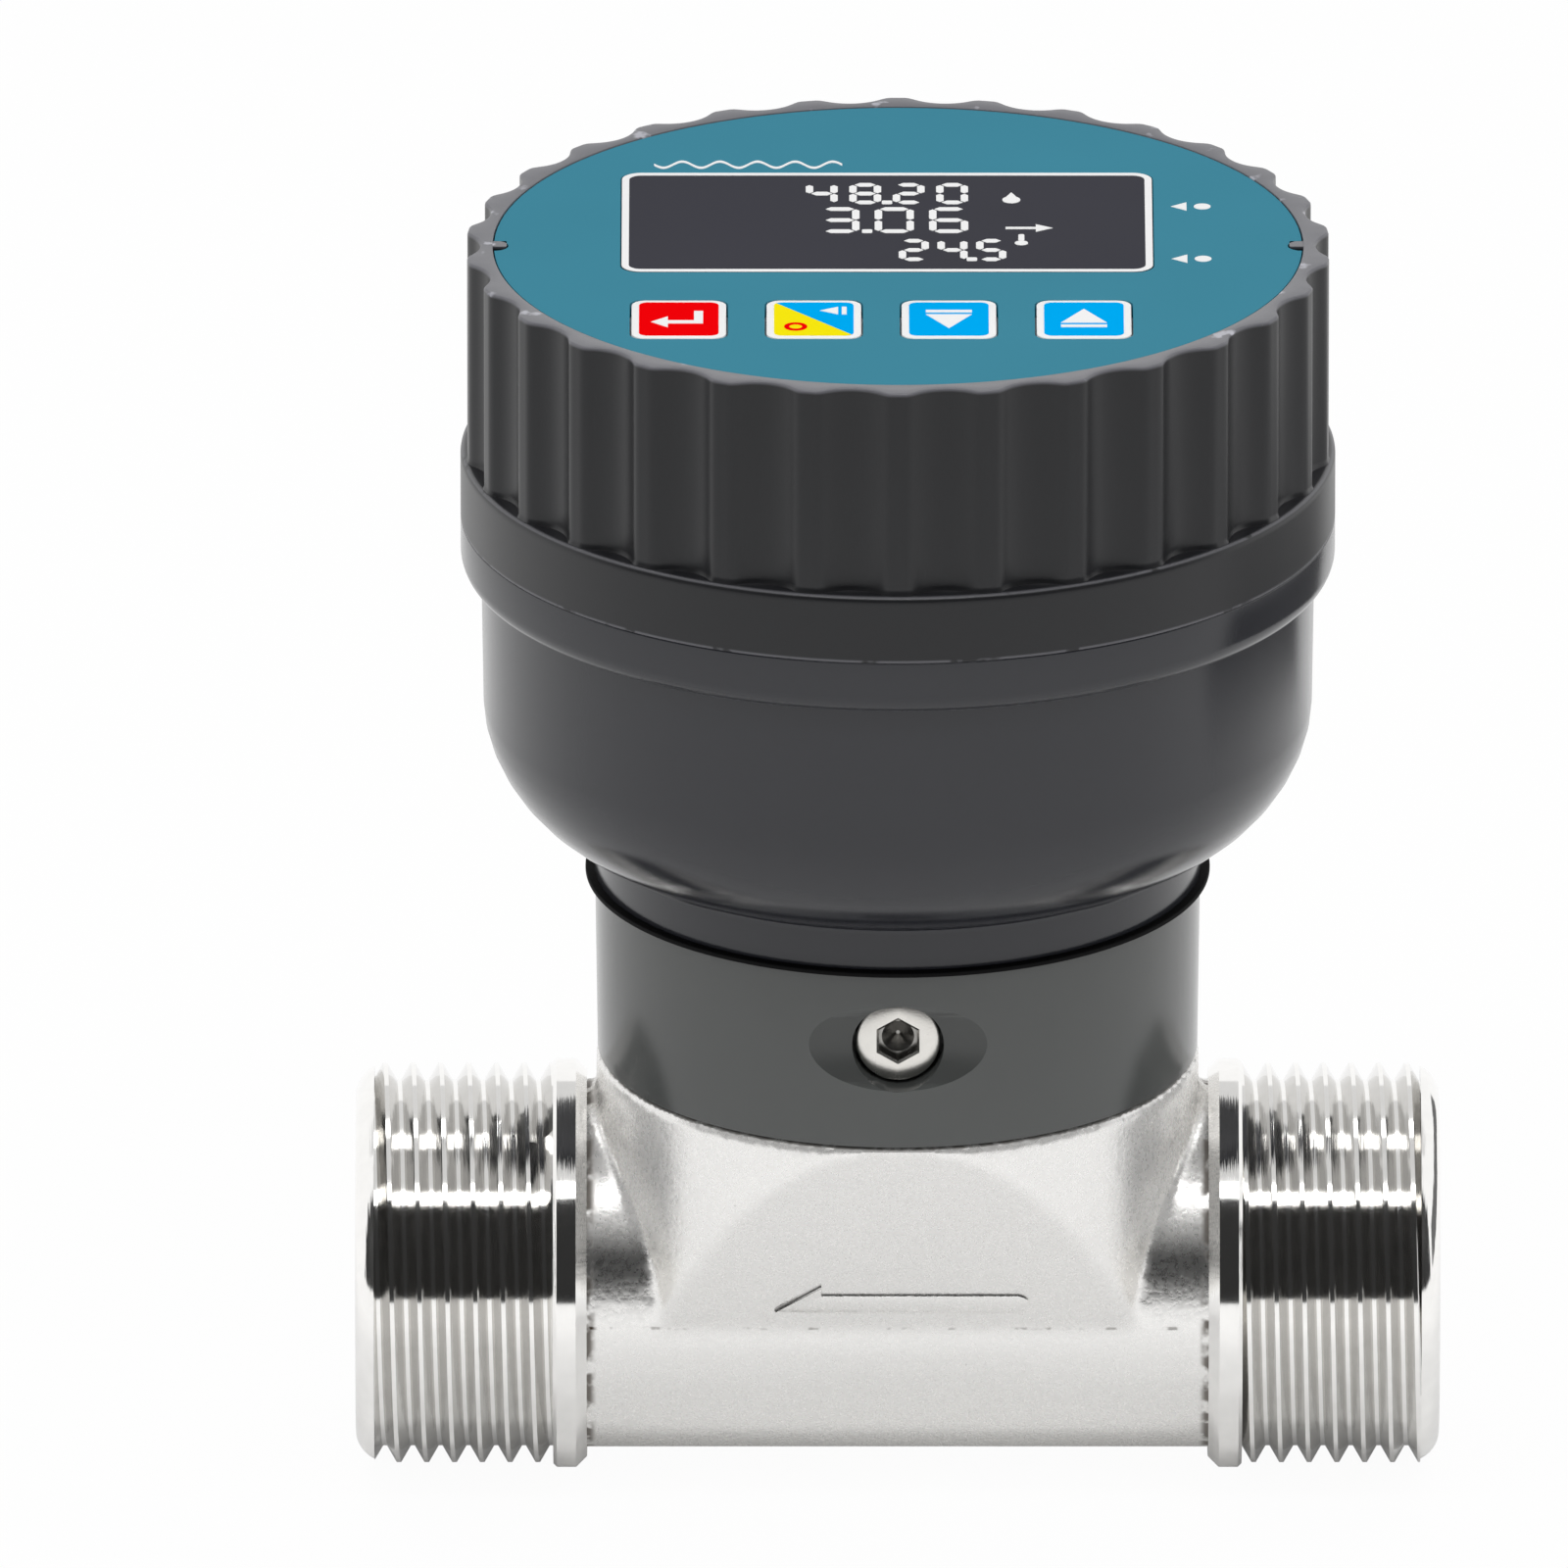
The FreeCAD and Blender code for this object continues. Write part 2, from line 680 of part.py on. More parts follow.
def make_collar():
    """Mounting collar: drafted ring with an inner flange, scoops and counterbores for the clamp screws."""
    body = new_body("mounting_collar")
    bore = size.spigot_radius + size.swivel_fit
    flange_low = size.collar_height - size.collar_flange
    profile = new_sketch(body, "XZ_Plane")
    draw_outline(profile, [
        (bore, 0), (size.collar_radius - size.collar_draft, 0), (size.collar_radius, size.collar_height),
        (size.probe_radius + size.probe_fit, size.collar_height),
        (size.probe_radius + size.probe_fit, flange_low), (bore, flange_low),
    ])
    revolve(body, profile, "V_Axis")

    scoop_edge = size.collar_radius - size.scoop_depth
    scoop = new_sketch(body, "YZ_Plane", -size.scoop_radius * 2)
    draw_circle(scoop, size.scoop_radius, -(scoop_edge + size.scoop_radius), size.clamp_height)
    scoop_cut = add_feature(body, "Pocket", scoop, Length=size.scoop_radius * 4, Reversed=True)

    seat = size.clamp_face - size.clamp_head_height
    counterbore = new_sketch(body, "XZ_Plane", seat)
    draw_circle(counterbore, size.clamp_head_radius + size.clamp_clearance, 0, size.clamp_height)
    head_cut = add_feature(body, "Pocket", counterbore, Length=size.collar_radius, Reversed=True)
    hole = new_sketch(body, "XZ_Plane", seat)
    draw_circle(hole, size.clamp_shank_radius + size.screw_clearance, 0, size.clamp_height)
    hole_cut = add_feature(body, "Pocket", hole, Length=seat - bore + size.scoop_depth)
    repeat_round(body, [scoop_cut, head_cut, hole_cut], "Z_Axis", size.clamp_count)

    screw_hole = new_sketch(body, "XY_Plane", size.collar_height)
    draw_circle(screw_hole, size.collar_screw_radius + size.screw_clearance, size.collar_screw_circle, 0)
    screw_cut = add_feature(body, "Pocket", screw_hole, Length=size.collar_flange * 2)
    repeat_round(body, [screw_cut], "Z_Axis", size.collar_screw_count)
    finish_piece(body, "mounting_collar", collar_base)


def make_clamp_screws():
    """Socket head cap screws whose tips run in the spigot's groove and clamp the head where it is turned."""
    body = new_body("clamp_screws")
    seat = size.clamp_face - size.clamp_head_height
    tip = size.spigot_radius - size.clamp_groove_depth + size.screw_clearance * 4
    profile = new_sketch(body, "YZ_Plane")
    draw_outline(profile, [
        (-tip, 0), (-tip, size.clamp_shank_radius), (-seat, size.clamp_shank_radius),
        (-seat, size.clamp_head_radius), (-size.clamp_face, size.clamp_head_radius), (-size.clamp_face, 0),
    ])
    screw = revolve(body, profile, "H_Axis")
    socket = new_sketch(body, "XZ_Plane", size.clamp_face)
    draw_regular(socket, size.clamp_socket, 6)
    recess = add_feature(body, "Pocket", socket, Length=size.clamp_socket_depth)
    repeat_round(body, [screw, recess], "Z_Axis", size.clamp_count)
    finish_piece(body, "clamp_screws", collar_base + size.clamp_height)


def make_collar_screws():
    """Screws from inside the collar up into the housing floor."""
    body = new_body("collar_screws")
    reach = size.collar_flange + size.gasket_thickness + size.floor_thickness
    shank = new_sketch(body, "XY_Plane")
    draw_circle(shank, size.collar_screw_radius, size.collar_screw_circle, 0)
    shank_pad = add_feature(body, "Pad", shank, Length=reach)
    head = new_sketch(body, "XY_Plane")
    draw_circle(head, size.collar_screw_head, size.collar_screw_circle, 0)
    head_pad = add_feature(body, "Pad", head, Length=size.collar_screw_head_height, Reversed=True)
    repeat_round(body, [shank_pad, head_pad], "Z_Axis", size.collar_screw_count)
    finish_piece(body, "collar_screws", collar_top - size.collar_flange)


def make_neck_gasket():
    """Flat gasket that shows as a thin black ring between collar and housing."""
    body = ring_body("neck_gasket", size.gasket_radius, size.gasket_bore, size.gasket_thickness)
    finish_piece(body, "neck_gasket", collar_top)


def make_housing():
    """Bell housing: neck, round bell corner, drafted wall, lipped flange and the spigot for the bezel."""
    body = new_body("housing")
    wall_top_radius = flange_radius - size.flange_lip
    corner_x = size.bell_radius - size.bell_corner
    across = size.neck_radius + size.neck_fillet - corner_x
    reach = size.bell_corner + size.neck_fillet
    drop = (reach * reach - across * across).root()
    meet = (corner_x + across * size.bell_corner / reach,
            size.bell_corner_height - drop * size.bell_corner / reach)
    neck_top = (size.neck_radius, size.bell_corner_height - drop)
    spigot_top = size.flange_top + size.head_spigot_height
    spigot_bore = size.head_spigot_radius - size.head_spigot_wall
    inner_radius = size.bell_radius - size.housing_wall
    inner_corner = size.bell_corner - size.housing_wall
    neck_bore = size.neck_radius - size.housing_wall
    inner_across = neck_bore - corner_x
    inner_low = size.bell_corner_height - (inner_corner * inner_corner - inner_across * inner_across).root()
    probe_hole = size.probe_flange_radius + size.probe_fit
    profile = new_sketch(body, "XZ_Plane")
    outline = [
        (probe_hole, 0), (size.neck_radius, 0), neck_top, meet,
        (size.bell_radius, size.bell_corner_height), (wall_top_radius, size.flange_height),
        (flange_radius, size.flange_height + size.flange_lip), (flange_radius, size.flange_top),
        (size.head_spigot_radius, size.flange_top), (size.head_spigot_radius, spigot_top),
        (spigot_bore, spigot_top), (spigot_bore, size.flange_top),
        (inner_radius, size.flange_height), (inner_radius, size.bell_corner_height),
        (neck_bore, inner_low), (neck_bore, size.floor_thickness), (probe_hole, size.floor_thickness),
    ]
    arcs = {
        2: (size.neck_fillet, False),
        3: (size.bell_corner, True),
        5: (size.flange_lip, True),
        13: (inner_corner, False),
    }
    draw_outline(profile, outline, arcs)
    revolve(body, profile, "V_Axis")

    screw_hole = new_sketch(body, "XY_Plane", size.floor_thickness)
    draw_circle(screw_hole, size.collar_screw_radius + size.screw_clearance, size.collar_screw_circle, 0)
    screw_cut = add_feature(body, "Pocket", screw_hole, Length=size.floor_thickness * 2)
    repeat_round(body, [screw_cut], "Z_Axis", size.collar_screw_count)

    feet = new_sketch(body, "XY_Plane", size.floor_thickness)
    for x, y in holder_feet():
        draw_circle(feet, size.holder_screw_radius + size.screw_clearance, x, y)
    add_feature(body, "Pocket", feet, Length=size.holder_screw_bite)
    finish_piece(body, "housing", housing_base)


def make_bezel():
    """Fluted bezel ring: plain skirt, fluted grip and an inner seat for the front panel."""
    body = new_body("bezel_ring")
    crest = bezel_radius - size.crest_step
    inner = size.head_spigot_radius + size.bezel_fit
    relief = size.head_spigot_radius + size.seal_relief
    recess = size.panel_radius + size.panel_fit
    seat_bore = recess - size.seat_width
    seat_top = size.bezel_height - size.panel_recess - size.panel_thickness - size.panel_seal_thickness
    seat_low = seat_top - size.seat_thickness
    profile = new_sketch(body, "XZ_Plane")
    outline = [
        (relief, 0), (bezel_radius, 0), (bezel_radius, size.skirt_height), (crest, size.skirt_height),
        (crest, size.bezel_height - size.rim_round), (crest - size.rim_round, size.bezel_height),
        (recess, size.bezel_height), (recess, seat_top), (seat_bore, seat_top), (seat_bore, seat_low),
        (inner, seat_low), (inner, size.seal_relief_height), (relief, size.seal_relief_height),
    ]
    draw_outline(profile, outline, {4: (size.rim_round, True)})
    revolve(body, profile, "V_Axis")

    flute = new_sketch(body, "XY_Plane", size.bezel_height)
    draw_circle(flute, size.flute_radius, 0, -(crest - size.flute_depth + size.flute_radius))
    cut = add_feature(body, "Pocket", flute, Length=size.bezel_height - size.skirt_height)
    repeat_round(body, [cut], "Z_Axis", size.flute_count)
    half_pitch = Rotation(Vector(0, 0, 1), 180.0 / size.flute_count.number)
    finish_piece(body, "bezel_ring", bezel_base, half_pitch)


def make_front_panel():
    """Front panel: disc with a window recess, four key openings, two rim notches and board pillars."""
    body = new_body("front_panel")
    disc = new_sketch(body, "XY_Plane")
    draw_circle(disc, size.panel_radius)
    add_feature(body, "Pad", disc, Length=size.panel_thickness)
    pillars = new_sketch(body, "XY_Plane")
    for x, y in pillar_spots:
        draw_circle(pillars, size.pillar_radius, x, y)
    add_feature(body, "Pad", pillars, Length=size.pillar_height, Reversed=True)

    window = (size.window_shift_x, size.window_shift_y)
    recess = new_sketch(body, "XY_Plane", size.panel_thickness)
    gap = size.window_fit * 2
    draw_round_box(recess, *window, size.window_width + gap, size.window_depth + gap, size.window_corner)
    add_feature(body, "Pocket", recess, Length=size.window_thickness)
    opening = new_sketch(body, "XY_Plane", size.panel_thickness)
    ledge = size.window_ledge * 2
    draw_round_box(opening, *window, size.window_width - ledge, size.window_depth - ledge,
                   size.window_corner)
    add_feature(body, "Pocket", opening, Length=size.panel_thickness)

    gap = size.key_fit * 2
    rim = gap + size.key_rim * 2
    openings = new_sketch(body, "XY_Plane", size.panel_thickness)
    recesses = new_sketch(body, "XY_Plane")
    for spot in key_spots():
        draw_round_box(openings, *spot, size.key_width + gap, size.key_depth + gap, size.key_corner)
        draw_round_box(recesses, *spot, size.key_width + rim, size.key_depth + rim, size.key_corner)
    add_feature(body, "Pocket", openings, Length=size.panel_thickness)
    add_feature(body, "Pocket", recesses, Length=size.panel_thickness - size.key_skin, Reversed=True)

    notches = new_sketch(body, "XY_Plane", size.panel_thickness)
    for sign in (1, -1):
        draw_circle(notches, size.panel_notch_radius, size.panel_radius * sign, 0)
    add_feature(body, "Pocket", notches, Length=size.panel_thickness)

    holes = new_sketch(body, "XY_Plane", -size.pillar_height)
    for x, y in pillar_spots:
        draw_circle(holes, size.board_screw_radius + size.screw_clearance, x, y)
    add_feature(body, "Pocket", holes, Length=size.board_screw_length, Reversed=True)
    finish_piece(body, "front_panel", panel_base)


def make_panel_seal():
    """Flat seal between the bezel's seat and the front panel."""
    outer = size.panel_radius
    inner = size.panel_radius + size.panel_fit - size.seat_width
    body = ring_body("panel_seal", outer, inner, size.panel_seal_thickness)
    finish_piece(body, "panel_seal", panel_base - size.panel_seal_thickness)


def make_display_window():
    """Window pane, flush in the panel."""
    body = new_body("display_window")
    pane = new_sketch(body, "XY_Plane")
    draw_round_box(pane, size.window_shift_x, size.window_shift_y, size.window_width, size.window_depth,
                   size.window_corner)
    add_feature(body, "Pad", pane, Length=size.window_thickness)
    finish_piece(body, "display_window", panel_base + size.panel_thickness - size.window_thickness)


def make_lcd():
    """Display frame on the board, and the display module on the frame's inner ledge."""
    x, y = size.window_shift_x, size.window_shift_y
    wall = size.lcd_frame_wall * 2
    ledge = wall + size.lcd_ledge * 2
    height = size.pillar_height - size.lcd_gap
    frame = new_body("lcd_frame")
    outside = new_sketch(frame, "XY_Plane")
    draw_round_box(outside, x, y, size.lcd_width, size.lcd_depth, size.lcd_corner)
    add_feature(frame, "Pad", outside, Length=height)
    steps = ((wall, size.lcd_thickness + size.lcd_gap), (ledge, height))
    for inset, depth in steps:
        cut = new_sketch(frame, "XY_Plane", height)
        draw_box(cut, x - (size.lcd_width - inset) / 2, y - (size.lcd_depth - inset) / 2,
                 x + (size.lcd_width - inset) / 2, y + (size.lcd_depth - inset) / 2)
        add_feature(frame, "Pocket", cut, Length=depth)
    finish_piece(frame, "lcd_frame", board_top)

    module = new_body("lcd_module")
    inset = wall + size.lcd_gap * 2
    glass = new_sketch(module, "XY_Plane")
    draw_box(glass, x - (size.lcd_width - inset) / 2, y - (size.lcd_depth - inset) / 2,
             x + (size.lcd_width - inset) / 2, y + (size.lcd_depth - inset) / 2)
    add_feature(module, "Pad", glass, Length=size.lcd_thickness)
    finish_piece(module, "lcd_module", board_top + height - size.lcd_thickness - size.lcd_gap)


def make_board():
    """Round circuit board with holes for its four screws."""
    body = new_body("display_board")
    disc = new_sketch(body, "XY_Plane")
    draw_circle(disc, size.board_radius)
    for x, y in pillar_spots:
        draw_circle(disc, size.board_screw_radius + size.screw_clearance, x, y)
    add_feature(body, "Pad", disc, Length=size.board_thickness)
    finish_piece(body, "display_board", board_top - size.board_thickness)


def make_board_screws():
    """Four screws through the board into the panel's pillars."""
    body = new_body("board_screws")
    shanks = new_sketch(body, "XY_Plane")
    heads = new_sketch(body, "XY_Plane")
    for x, y in pillar_spots:
        draw_circle(shanks, size.board_screw_radius, x, y)
        draw_circle(heads, size.board_screw_head, x, y)
    add_feature(body, "Pad", shanks, Length=size.board_screw_length)
    add_feature(body, "Pad", heads, Length=size.board_screw_head_height, Reversed=True)
    finish_piece(body, "board_screws", board_top - size.board_thickness)


def key_spots():
    """Centres of the four keys, from left to right."""
    return [(size.key_row_x + size.key_pitch * step, size.key_row_y) for step in (-1.5, -0.5, 0.5, 1.5)]


def make_keys():
    """Four keys: cap, rim that stays under the panel, and a stem into the switch."""
    for name, spot in zip(("key_set", "key_shift", "key_down", "key_up"), key_spots()):
        body = new_body(name)
        rim_top = size.panel_thickness - size.key_skin - size.key_fit
        rim = new_sketch(body, "XY_Plane", rim_top - size.key_rim_thickness)
        rim_size = size.key_rim * 2
        draw_round_box(rim, *spot, size.key_width + rim_size, size.key_depth + rim_size, size.key_corner)
        add_feature(body, "Pad", rim, Length=size.key_rim_thickness)
        cap = new_sketch(body, "XY_Plane", rim_top)
        draw_round_box(cap, *spot, size.key_width, size.key_depth, size.key_corner)
        add_feature(body, "Pad", cap, Length=size.key_skin + size.key_fit + size.key_proud)
        stem = new_sketch(body, "XY_Plane", rim_top - size.key_rim_thickness)
        draw_circle(stem, size.key_stem_radius, *spot)
        stem_length = (rim_top - size.key_rim_thickness + size.pillar_height
                       - size.switch_height + size.key_stem_entry)
        add_feature(body, "Pad", stem, Length=stem_length, Reversed=True)
        finish_piece(body, name, panel_base)


def make_key_switches():
    """Four push switches on the board, each with a well for its key's stem."""
    body = new_body("key_switches")
    boxes = new_sketch(body, "XY_Plane")
    wells = new_sketch(body, "XY_Plane", size.switch_height)
    half = size.switch_width / 2
    for x, y in key_spots():
        draw_box(boxes, x - half, y - half, x + half, y + half)
        draw_circle(wells, size.key_stem_radius + size.key_fit, x, y)
    add_feature(body, "Pad", boxes, Length=size.switch_height)
    add_feature(body, "Pocket", wells, Length=size.switch_well_depth)
    finish_piece(body, "key_switches", board_top)


def make_sensor_probe():
    """Pickup on the swivel axis: it hangs in the collar's flange and dips into the dry well."""
    body = new_body("sensor_probe")
    tip = axis_height + size.bore_radius + size.well_wall + size.probe_tip_gap
    profile = new_sketch(body, "XZ_Plane")
    draw_outline(profile, [
        (0, tip - collar_top), (size.probe_radius, tip - collar_top), (size.probe_radius, 0),
        (size.probe_flange_radius, 0), (size.probe_flange_radius, size.probe_flange_thickness),
        (0, size.probe_flange_thickness),
    ])
    revolve(body, profile, "V_Axis")
    finish_piece(body, "sensor_probe", collar_top)


def make_sensor_lead():
    """Lead from the probe up past the battery holder to the connector under the board."""
    start = collar_top + size.probe_flange_thickness
    end = board_top - size.board_thickness - size.connector_height
    bend_low = start + size.lead_rise
    bend_high = bend_low + size.lead_slope
    points = [
        Vector(0, 0, start.number),
        Vector(0, 0, bend_low.number),
        Vector(0, -size.lead_shift.number, bend_high.number),
        Vector(0, -size.lead_shift.number, end.number),
    ]
    wire = Part.Wire(rounded_route(points))
    section = Part.Wire(Part.Circle(points[0], Vector(0, 0, 1), size.lead_radius.number).toShape())
    tube = wire.makePipeShell([section], True, True)
    expected = math.pi * size.lead_radius.number ** 2 * wire.Length
    if abs(tube.Volume / expected - 1) > 0.01:
        raise RuntimeError("the sensor lead's volume is off")
    lead = doc.addObject("Part::Feature", "sensor_lead")
    lead.Shape = tube
    finish_piece(lead, "sensor_lead")


def rounded_route(points):
    """Join straight runs by tangent arcs, each as large as its two runs allow."""
    share = 0.45
    edges = []
    last = points[0]
    for before, corner, after in zip(points, points[1:], points[2:]):
        back, ahead = before - corner, after - corner
        trim = share * min(back.Length, ahead.Length)
        back.normalize()
        ahead.normalize()
        entry, leave = corner + back * trim, corner + ahead * trim
        half_angle = back.getAngle(ahead) / 2
        radius = trim * math.tan(half_angle)
        middle_way = (back + ahead).normalize()
        middle = corner + middle_way * (radius / math.sin(half_angle) - radius)
        edges.append(Part.LineSegment(last, entry).toShape())
        edges.append(Part.Arc(entry, middle, leave).toShape())
        last = leave
    edges.append(Part.LineSegment(last, points[-1]).toShape())
    return edges


def make_lead_connector():
    """Connector for the sensor lead, under the board."""
    body = new_body("lead_connector")
    block = new_sketch(body, "XY_Plane")
    half_width, half_depth = size.connector_width / 2, size.connector_depth / 2
    draw_box(block, -half_width, -size.lead_shift - half_depth, half_width, -size.lead_shift + half_depth)
    add_feature(body, "Pad", block, Length=size.connector_height)
    finish_piece(body, "lead_connector", board_top - size.board_thickness - size.connector_height)


def holder_feet():
    """Places of the battery holder's four feet."""
    return [(size.holder_foot_x * side, size.battery_shift + size.holder_foot_y * way)
            for side in (1, -1) for way in (1, -1)]


def battery_level():
    """Height of the battery's axis."""
    return floor_top + size.holder_lift + size.holder_base + size.battery_radius + size.battery_gap


def contact_height():
    """Height of the contact plates, which end just above the cell."""
    return size.battery_radius * 2 + size.battery_gap + size.contact_rise


def holder_inside():
    """Half the length between the holder's end walls."""
    return size.battery_length / 2 + size.contact_thickness + size.battery_gap


def make_battery():
    """Lithium cell with its raised plus pole, lying across the housing."""
    body = new_body("battery")
    half = size.battery_length / 2
    can_end = half - size.battery_gap * 5
    profile = new_sketch(body, "XZ_Plane")
    draw_outline(profile, [
        (-half, 0), (-half, size.battery_radius), (can_end, size.battery_radius),
        (can_end, size.battery_radius / 3), (half, size.battery_radius / 3), (half, 0),
    ])
    revolve(body, profile, "H_Axis")
    body.setExpression("Placement.Base.y", size.battery_shift.text)
    finish_piece(body, "battery", battery_level())


def make_battery_holder():
    """Holder tray with two end walls on four feet."""
    body = new_body("battery_holder")
    inside = holder_inside()
    outside = inside + size.holder_end
    half_depth = size.battery_radius + size.holder_margin
    low, high = size.battery_shift - half_depth, size.battery_shift + half_depth
    tray = new_sketch(body, "XY_Plane")
    draw_box(tray, -outside, low, outside, high)
    add_feature(body, "Pad", tray, Length=size.holder_base)
    ends = new_sketch(body, "XY_Plane", size.holder_base)
    draw_box(ends, -outside, low, -inside, high)
    draw_box(ends, inside, low, outside, high)
    add_feature(body, "Pad", ends, Length=size.holder_end_height)
    feet = new_sketch(body, "XY_Plane")
    holes = new_sketch(body, "XY_Plane", size.holder_base)
    for x, y in holder_feet():
        draw_circle(feet, size.holder_foot_radius, x, y)
        draw_circle(holes, size.holder_screw_radius + size.screw_clearance, x, y)
    add_feature(body, "Pad", feet, Length=size.holder_lift, Reversed=True)
    add_feature(body, "Pocket", holes, Length=size.holder_base + size.holder_lift)
    finish_piece(body, "battery_holder", floor_top + size.holder_lift)


def make_holder_screws():
    """Four screws through the holder's feet into the housing floor."""
    body = new_body("holder_screws")
    shanks = new_sketch(body, "XY_Plane")
    heads = new_sketch(body, "XY_Plane")
    for x, y in holder_feet():
        draw_circle(shanks, size.holder_screw_radius, x, y)
        draw_circle(heads, size.holder_screw_head, x, y)
    reach = size.holder_base + size.holder_lift + size.holder_screw_bite - size.screw_clearance
    add_feature(body, "Pad", shanks, Length=reach, Reversed=True)
    add_feature(body, "Pad", heads, Length=size.holder_screw_head_height)
    finish_piece(body, "holder_screws", floor_top + size.holder_lift + size.holder_base)


def make_battery_contacts():
    """Contact plates between the cell and the holder's end walls."""
    body = new_body("battery_contacts")
    inside = holder_inside()
    low, high = size.battery_shift - size.contact_width / 2, size.battery_shift + size.contact_width / 2
    plates = new_sketch(body, "XY_Plane")
    draw_box(plates, inside - size.contact_thickness, low, inside, high)
    draw_box(plates, -inside, low, size.contact_thickness - inside, high)
    add_feature(body, "Pad", plates, Length=contact_height())
    finish_piece(body, "battery_contacts", floor_top + size.holder_lift + size.holder_base)


def make_battery_leads():
    """Two straight leads from the contact plates up to the board."""
    body = new_body("battery_leads")
    start = floor_top + size.holder_lift + size.holder_base + contact_height()
    side = holder_inside() - size.contact_thickness / 2
    ends = new_sketch(body, "XY_Plane")
    for sign in (1, -1):
        draw_circle(ends, size.battery_lead_radius, side * sign, size.battery_shift)
    add_feature(body, "Pad", ends, Length=board_top - size.board_thickness - start)
    finish_piece(body, "battery_leads", start)


def main():
    make_flow_body()
    make_straightener()
    make_bearing_support()
    make_retaining_ring()
    make_rotor_bushes()
    round_seal("swivel_o_ring", size.o_ring_section, size.spigot_radius - size.o_ring_section,
               boss_top + size.o_ring_height)
    make_rotor()
    make_rotor_shaft()
    make_rotor_magnets()
    make_collar()
    make_clamp_screws()
    make_collar_screws()
    make_neck_gasket()
    make_housing()
    make_bezel()
    round_seal("bezel_seal", size.seal_section, size.head_spigot_radius + size.screw_clearance,
               bezel_base + size.seal_section / 2 + size.screw_clearance)
    make_front_panel()
    make_panel_seal()
    make_display_window()
    make_lcd()
    make_board()
    make_board_screws()
    make_keys()
    make_key_switches()
    make_sensor_probe()
    make_sensor_lead()
    make_lead_connector()
    make_battery()
    make_battery_holder()
    make_holder_screws()
    make_battery_contacts()
    make_battery_leads()
    write_parts()


def write_parts():
    """Check every object and write each sub-part to its own file."""
    doc.recompute()
    for thing in doc.Objects:
        if {"Invalid", "Error"} & set(thing.State):
            raise RuntimeError("%s failed: %s" % (thing.Label, thing.State))
    os.makedirs(PARTS_FOLDER, exist_ok=True)
    for thing in sub_parts:
        shape = thing.Shape
        if shape.isNull() or not shape.isValid():
            raise RuntimeError("%s has no valid shape" % thing.Label)
        shape.exportStep(os.path.join(PARTS_FOLDER, thing.Label + ".step"))
        print("%-24s solids %d volume %.1f" % (thing.Label, len(shape.Solids), shape.Volume))


main()
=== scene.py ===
"""Looks of an in-line turbine flow meter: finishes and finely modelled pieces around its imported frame."""

import json
import math

import bmesh
import bpy
from bpy.props import FloatProperty, FloatVectorProperty, IntProperty, PointerProperty
from mathutils import Matrix, Vector


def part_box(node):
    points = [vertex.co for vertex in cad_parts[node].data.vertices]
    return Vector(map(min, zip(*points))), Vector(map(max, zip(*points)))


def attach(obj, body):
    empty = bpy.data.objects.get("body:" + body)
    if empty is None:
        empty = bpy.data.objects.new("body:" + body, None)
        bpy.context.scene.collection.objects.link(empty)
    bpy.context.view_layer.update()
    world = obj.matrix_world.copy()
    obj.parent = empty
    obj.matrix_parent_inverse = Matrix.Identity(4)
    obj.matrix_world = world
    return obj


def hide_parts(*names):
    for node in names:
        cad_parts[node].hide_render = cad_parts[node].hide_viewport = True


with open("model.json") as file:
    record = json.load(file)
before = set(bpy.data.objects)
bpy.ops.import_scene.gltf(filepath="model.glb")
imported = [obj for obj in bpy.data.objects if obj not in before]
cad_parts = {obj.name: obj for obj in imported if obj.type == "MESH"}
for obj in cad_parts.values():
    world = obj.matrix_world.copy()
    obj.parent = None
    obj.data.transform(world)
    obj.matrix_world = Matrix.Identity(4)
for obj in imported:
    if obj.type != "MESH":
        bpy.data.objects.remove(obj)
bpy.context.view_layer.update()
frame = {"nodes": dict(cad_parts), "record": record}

bl_info = {
    "name": "Turbine Flow Meter",
    "version": (1, 0, 0),
    "blender": (4, 5, 0),
    "location": "View3D > Sidebar > Flow Meter",
    "description": "Models the looks of an in-line flow meter around its packed solids",
    "category": "Object",
}

MM = 0.001
RECORD = frame["record"]
INLET = next(mount for mount in RECORD["mounts"] if mount["name"] == "inlet_thread")
PIPE_AXIS = Vector((0, 0, INLET["pos_m"][2]))
THREAD_RADIUS = INLET["dims"]["r_mm"] * MM
BODY_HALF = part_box("flow_body")[1].x
SPIGOT_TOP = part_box("flow_body")[1].z
COLLAR_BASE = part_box("mounting_collar")[0].z
GASKET_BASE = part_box("neck_gasket")[0].z
HOUSING_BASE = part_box("housing")[0].z
BEZEL_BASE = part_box("bezel_ring")[0].z
BEZEL_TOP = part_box("bezel_ring")[1].z
BEZEL_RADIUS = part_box("bezel_ring")[1].x
PANEL_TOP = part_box("display_window")[1].z

# How finely round shapes are divided, and how close points are that count as one.
ROUND_STEPS = 192
CORNER_STEPS = 8
EDGE_STEPS = 2
QUARTER_STEPS = 5
THREAD_STEPS = 120
LEAD_IN_STEPS = 6
FLUTE_STEPS = 24
SCREW_STEPS = 72
CARD_STEPS = 24
MERGE = 1e-6

# The thread's flanks, the depths between which they carry painted shade, a darker copy of the turned nickel,
# and the plain ring at the thread's start: its slope, and the share of its drop that is a step down
# from the crests.
THREAD_FLANK = math.radians(60)
THREAD_CORE = THREAD_RADIUS / 2
FLANK_FROM, FLANK_TO = 0.1 * MM, 1.33 * MM
LEAD_IN_SLOPE = math.radians(28)
CROWN_SHARE = 0.12

# Places of the finishes on the flow body, two of which hold painted shade, and on a key.
CAST, TURNED, SHADED_EDGE, SHADED_FLANK = range(4)
FIELD, WHITE, SECOND_FIELD, RING = range(4)

